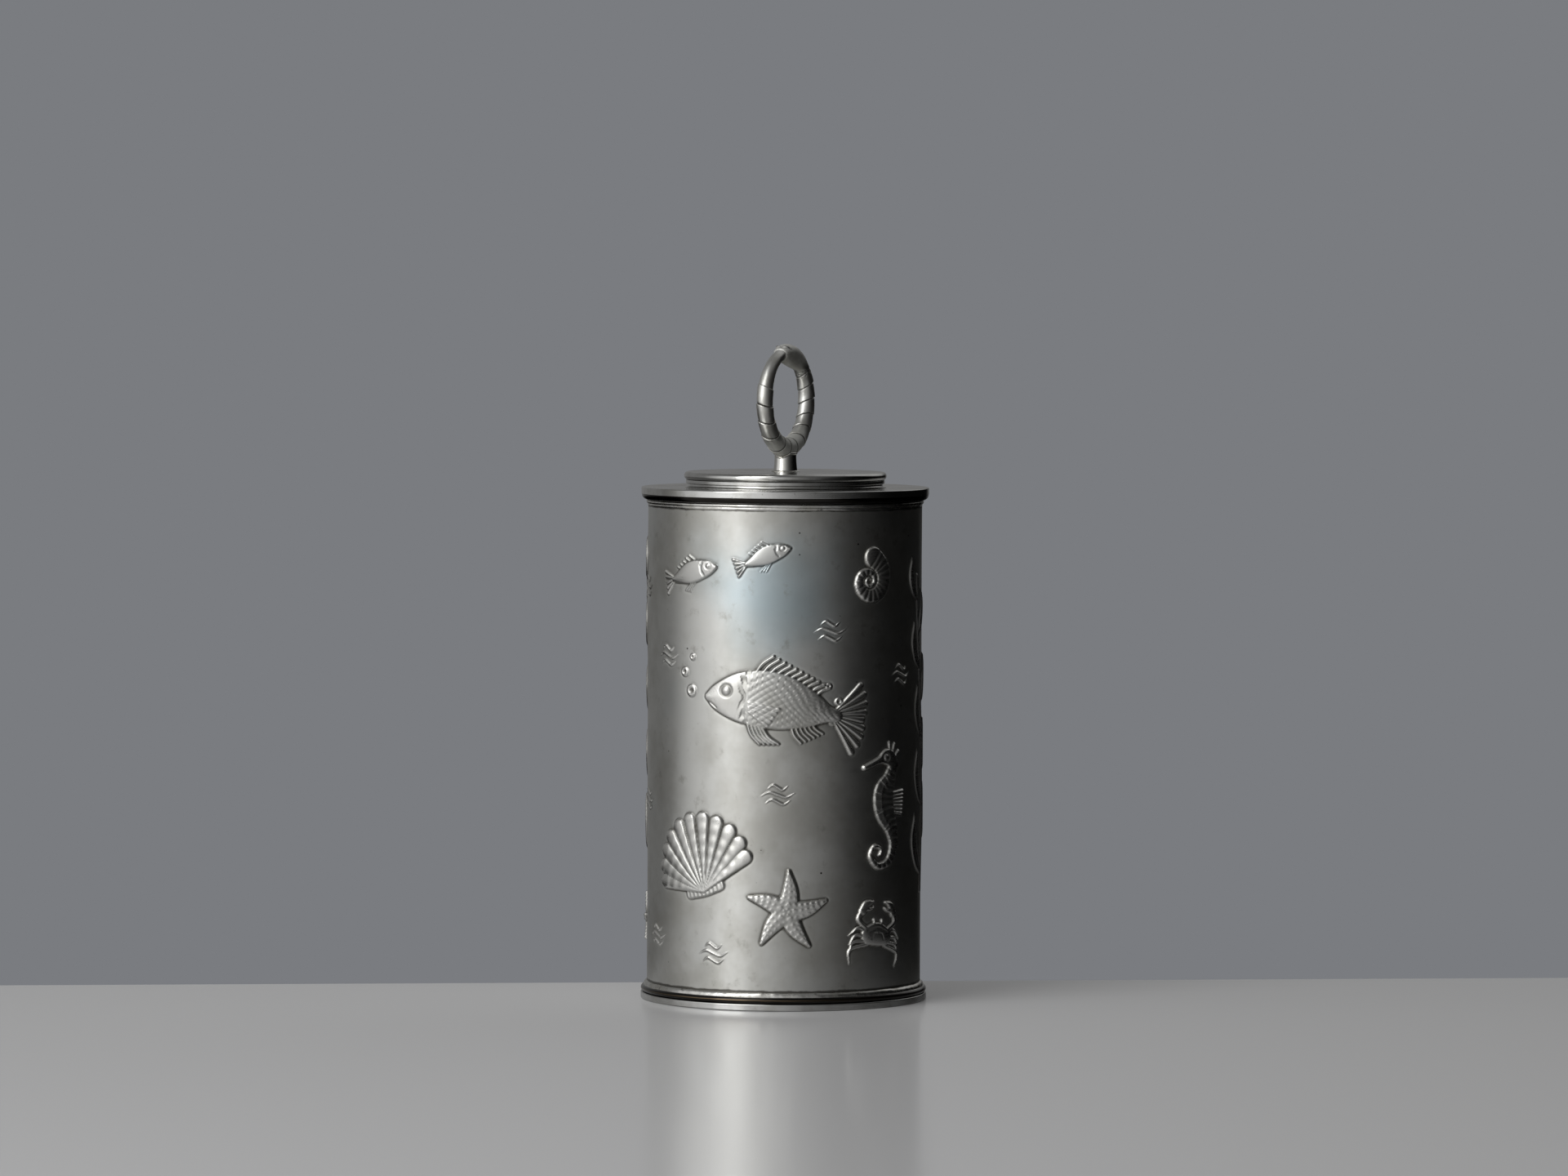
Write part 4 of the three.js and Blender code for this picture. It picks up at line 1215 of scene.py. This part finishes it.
# Serpent. It is cast in one piece with the bands of its skin cut by hand, each flaring towards the
# tail and stepping in under the next, and it closes its mouth on its own tail. Its shape follows
# one rule from the snout, back round the loop to the tail's tip.
filed_cast = cast_pewter("cast_pewter_filed", "e0e0dc", roughness=0.25)
serpent_sizes = {  # lengths in millimetres, and angles in degrees round the loop
    "Loop Radius": LOOP_RADIUS,
    "Loop Height": loop_centre,
    "Body Radius": BODY_RADIUS,
    "Belly Swell": BELLY_SWELL,
    "Belly Reach": 75,
    "Tail Taper": 85,
    "Head Length": 60,
    "Head Half Width": 3.1,
    "Head Crest": 2.8,
    "Jaw Length": 62,
    "Jaw Depth": 4.5,
    "Snout Angle": 106,
    "First Band": 71,
    "Band Pitch": 19.083,
    "Bands": 12,
    "Band Step": BAND_STEP,
    "Band Wander": 12,
    "Band Lean": 3.5,
    "Eye Place": 7,
    "Eye Turn": 0.62,  # radians round the body, from its outer side
    "Eye Rim": 1.55,
    "Rim Width": 0.55,
    "Eye Stand": 0.4,
    "Chisel Place": 68,
    "Chisel Reach": 9,
    "Jaw Line End": 27,
    "Cut Depth": 0.24,
    "Unevenness": 0.12,
}
BACK_STEPS = 840
ROUND_STEPS = 56
serpent_tree, given, serpent_keys = new_shape("serpent_ring", serpent_sizes)
grid = add_node(
    serpent_tree, "GeometryNodeMeshGrid",
    Size_X=1.0, Size_Y=1.0, Vertices_X=BACK_STEPS + 1, Vertices_Y=ROUND_STEPS + 1,
)[0]
at = add_node(serpent_tree, "GeometryNodeInputPosition")[0]
across_grid = add_node(serpent_tree, "ShaderNodeSeparateXYZ", Vector=at)


def follow_rule(known, steps):
    """Adds one node for each step of the serpent's rule: its name, what it does, and the numbers,
    sizes or earlier steps that it takes. A Rise goes smoothly from 0 to 1 between two values."""
    for name, operation, *terms in steps:
        terms = [known[term] if isinstance(term, str) else term for term in terms]
        if operation == "Rise":
            known[name] = add_node(
                serpent_tree, "ShaderNodeMapRange", interpolation_type="SMOOTHSTEP",
                Value=terms[0], From_Min=terms[1], From_Max=terms[2],
            )[0]
            continue
        inputs = {f"_{i}": term for i, term in enumerate(terms)}
        known[name] = add_node(serpent_tree, "ShaderNodeMath", operation=operation, **inputs)[0]


rule = {name: given[name] for name in serpent_sizes}
rule["along grid"] = across_grid["X"]
rule["round grid"] = across_grid["Y"]
follow_rule(rule, (
    ("back", "MULTIPLY_ADD", "along grid", 360.0, 180.0),  # degrees back from the snout
    ("turn", "MULTIPLY", "round grid", 2 * math.pi),  # round the body, from its outer side
    ("outer", "COSINE", "turn"),
    ("side", "SINE", "turn"),
    ("place", "SUBTRACT", "Snout Angle", "back"),
    ("heading", "RADIANS", "place"),
    ("east", "COSINE", "heading"),
    ("up", "SINE", "heading"),
    ("core reach", "MULTIPLY_ADD", "outer", "Body Radius", "Loop Radius"),
    ("core x", "MULTIPLY", "east", "core reach"),
    ("core y", "MULTIPLY", "side", "Body Radius"),
    ("core z", "MULTIPLY", "up", "core reach"),
))
core = add_node(
    serpent_tree, "ShaderNodeCombineXYZ", X=rule["core x"], Y=rule["core y"], Z=rule["core z"]
)[0]
for name, often, detail in (  # how often each repeats in a millimetre, and how fine it gets
    ("wander", 0.075, 0), ("rough", 0.26, 3), ("nicks", 0.9, 2),
):
    rule[name] = add_node(
        serpent_tree, "ShaderNodeTexNoise", Vector=core, Scale=often, Detail=detail
    )[0]
follow_rule(rule, (
    # the bands, whose edges wander a little and lean round the body
    ("shifted", "SUBTRACT", "wander", 0.5),
    ("leaning", "MULTIPLY_ADD", "shifted", "Band Wander", "back"),
    ("lean", "MULTIPLY", "side", "Band Lean"),
    ("leaning", "SUBTRACT", "leaning", "lean"),
    ("banding", "SUBTRACT", "leaning", "First Band"),
    ("band", "DIVIDE", "banding", "Band Pitch"),
    ("begun", "GREATER_THAN", "band", 0.0),
    ("not ended", "LESS_THAN", "band", "Bands"),
    ("banded", "MULTIPLY", "begun", "not ended"),
    ("along", "FRACT", "band"),
    ("under edge", "Rise", "along", 0.11, 0.02),
    ("under edge", "MULTIPLY", "under edge", "banded"),
    ("flare", "MULTIPLY", "along", "banded"),
    ("flare", "MULTIPLY", "flare", "Band Step"),
    # the body, which thins to the tail and is thickest where the post holds it
    ("from tip", "SUBTRACT", 360.0, "back"),
    ("thinned", "Rise", "from tip", "Tail Taper", 0.0),
    ("post place", "ADD", "Snout Angle", 90.0),
    ("from post", "SUBTRACT", "back", "post place"),
    ("from post", "ABSOLUTE", "from post"),
    ("belly", "Rise", "from post", "Belly Reach", 0.0),
    ("thickening", "MULTIPLY_ADD", "belly", "Belly Swell", "flare"),
    # the head and the jaw swell, and the lips round in to the tail
    ("head share", "DIVIDE", "back", "Head Length"),
    ("head share", "MINIMUM", "head share", 1.0),
    ("head share", "SQRT", "head share"),
    ("head share", "MULTIPLY", "head share", math.pi),
    ("head swell", "SINE", "head share"),
    ("jaw share", "DIVIDE", "back", "Jaw Length"),
    ("jaw share", "MINIMUM", "jaw share", 1.0),
    ("jaw share", "MULTIPLY", "jaw share", math.pi),
    ("jaw swell", "SINE", "jaw share"),
))
for reaching, size, swelling, lip_round, tail_end in (
    ("outward", "Head Crest", "head swell", 16.0, 1.5),
    ("inward", "Jaw Depth", "jaw swell", 9.0, 2.4),
    ("aside", "Head Half Width", "head swell", 9.0, 2.0),
):
    rule["Tail End"] = tail_end
    follow_rule(rule, (
        ("open", "DIVIDE", "back", lip_round),
        ("open", "MINIMUM", "open", 1.0),
        ("open", "SUBTRACT", 1.0, "open"),
        ("open", "MULTIPLY", "open", "open"),
        ("lips", "SUBTRACT", 1.0, "open"),
        ("lips", "SQRT", "lips"),
        ("loss", "SUBTRACT", "Body Radius", "Tail End"),
        ("loss", "MULTIPLY", "loss", "thinned"),
        ("body", "SUBTRACT", "Body Radius", "loss"),
        ("body", "ADD", "body", "thickening"),
        ("gain", "SUBTRACT", size, "Body Radius"),
        ("full", "MULTIPLY_ADD", "gain", swelling, "body"),
        ("beyond tail", "SUBTRACT", "full", "Tail End"),
        (reaching, "MULTIPLY_ADD", "beyond tail", "lips", "Tail End"),
    ))
follow_rule(rule, (
    # two slanted slots for eyes: u and v are millimetres back and round from the middle of each
    ("eye u", "SUBTRACT", "back", "Eye Place"),
    ("eye u", "MULTIPLY", "eye u", 0.307),
    ("eye v", "ABSOLUTE", "turn"),
    ("eye v", "SUBTRACT", "eye v", "Eye Turn"),
    ("eye v", "MULTIPLY", "eye v", 2.4),
    ("slot along", "ADD", "eye u", "eye v"),
    ("slot along", "MULTIPLY", "slot along", 0.615),
    ("slot along", "MULTIPLY", "slot along", "slot along"),
    ("slot across", "SUBTRACT", "eye u", "eye v"),
    ("slot across", "MULTIPLY", "slot across", 1.68),
    ("from slot", "MULTIPLY_ADD", "slot across", "slot across", "slot along"),
    ("from slot", "SQRT", "from slot"),
    ("eyes", "Rise", "from slot", 1.2, 0.2),
    ("eye rim", "SUBTRACT", "from slot", "Eye Rim"),
    ("eye rim", "ABSOLUTE", "eye rim"),
    ("eye rim", "Rise", "eye rim", "Rim Width", 0.0),
    # chisel marks behind the head, and a faint line along the jaw
    ("chiselled", "SUBTRACT", "back", "Chisel Place"),
    ("chiselled", "ABSOLUTE", "chiselled"),
    ("chiselled", "Rise", "chiselled", "Chisel Reach", 3.0),
    ("nicks", "Rise", "nicks", 0.5, 0.6),
    ("nicks", "MULTIPLY", "nicks", "chiselled"),
    ("jaw line", "ADD", "outer", 0.1),
    ("jaw line", "ABSOLUTE", "jaw line"),
    ("jaw line", "Rise", "jaw line", 0.14, 0.0),
    ("jaw end", "Rise", "back", "Jaw Line End", 21.0),
    ("jaw line", "MULTIPLY", "jaw line", "jaw end"),
    ("cut", "MULTIPLY", "under edge", 0.9),
    ("cut", "MULTIPLY_ADD", "eye rim", 0.5, "cut"),
    ("cut", "MULTIPLY_ADD", "jaw line", 0.3, "cut"),
    ("cut", "MULTIPLY_ADD", "nicks", 0.5, "cut"),
    ("stand", "SUBTRACT", "rough", 0.5),
    ("stand", "MULTIPLY", "stand", "Unevenness"),
    ("stand", "MULTIPLY_ADD", "eyes", "Eye Stand", "stand"),
    ("cut in", "MULTIPLY", "cut", "Cut Depth"),
    ("stand", "SUBTRACT", "stand", "cut in"),
    # the head and the side by the post, where no finger rubs
    ("head dull", "Rise", "back", 64.0, 46.0),
    ("belly dull", "Rise", "from post", 48.0, 26.0),
    ("unrubbed", "MAXIMUM", "head dull", "belly dull"),
    ("unrubbed", "MULTIPLY_ADD", "eyes", -2.0, "unrubbed"),
    # the skin
    ("outer half", "GREATER_THAN", "outer", 0.0),
    ("deep", "SUBTRACT", "outward", "inward"),
    ("deep", "MULTIPLY_ADD", "deep", "outer half", "inward"),
    ("deep", "ADD", "deep", "stand"),
    ("wide", "ADD", "aside", "stand"),
    ("reach", "MULTIPLY_ADD", "deep", "outer", "Loop Radius"),
    ("x", "MULTIPLY", "east", "reach"),
    ("y", "MULTIPLY", "side", "wide"),
    ("z", "MULTIPLY_ADD", "up", "reach", "Loop Height"),
))
skin = grid
for name, kept in (("hollow", rule["cut"]), ("unrubbed", rule["unrubbed"])):
    skin = add_node(
        serpent_tree, "GeometryNodeStoreNamedAttribute", data_type="FLOAT", domain="POINT",
        Geometry=skin, Name=name, Value=kept,
    )[0]
position = add_node(serpent_tree, "ShaderNodeCombineXYZ", X=rule["x"], Y=rule["y"], Z=rule["z"])[0]
position = add_node(
    serpent_tree, "ShaderNodeVectorMath", operation="SCALE", _0=position, Scale=MM
)[0]
skin = add_node(serpent_tree, "GeometryNodeSetPosition", Geometry=skin, Position=position)[0]
skin = add_node(serpent_tree, "GeometryNodeMergeByDistance", Geometry=skin, Distance=1e-6)[0]
end_shape(serpent_tree, skin, filed_cast)

serpent = new_object("serpent_handle", bpy.data.meshes.new("serpent_handle"))
give_shape(serpent, serpent_tree, serpent_keys, serpent_sizes.values())
place_piece(serpent, "lid", None, "pewter_cast", "serpent_ring")
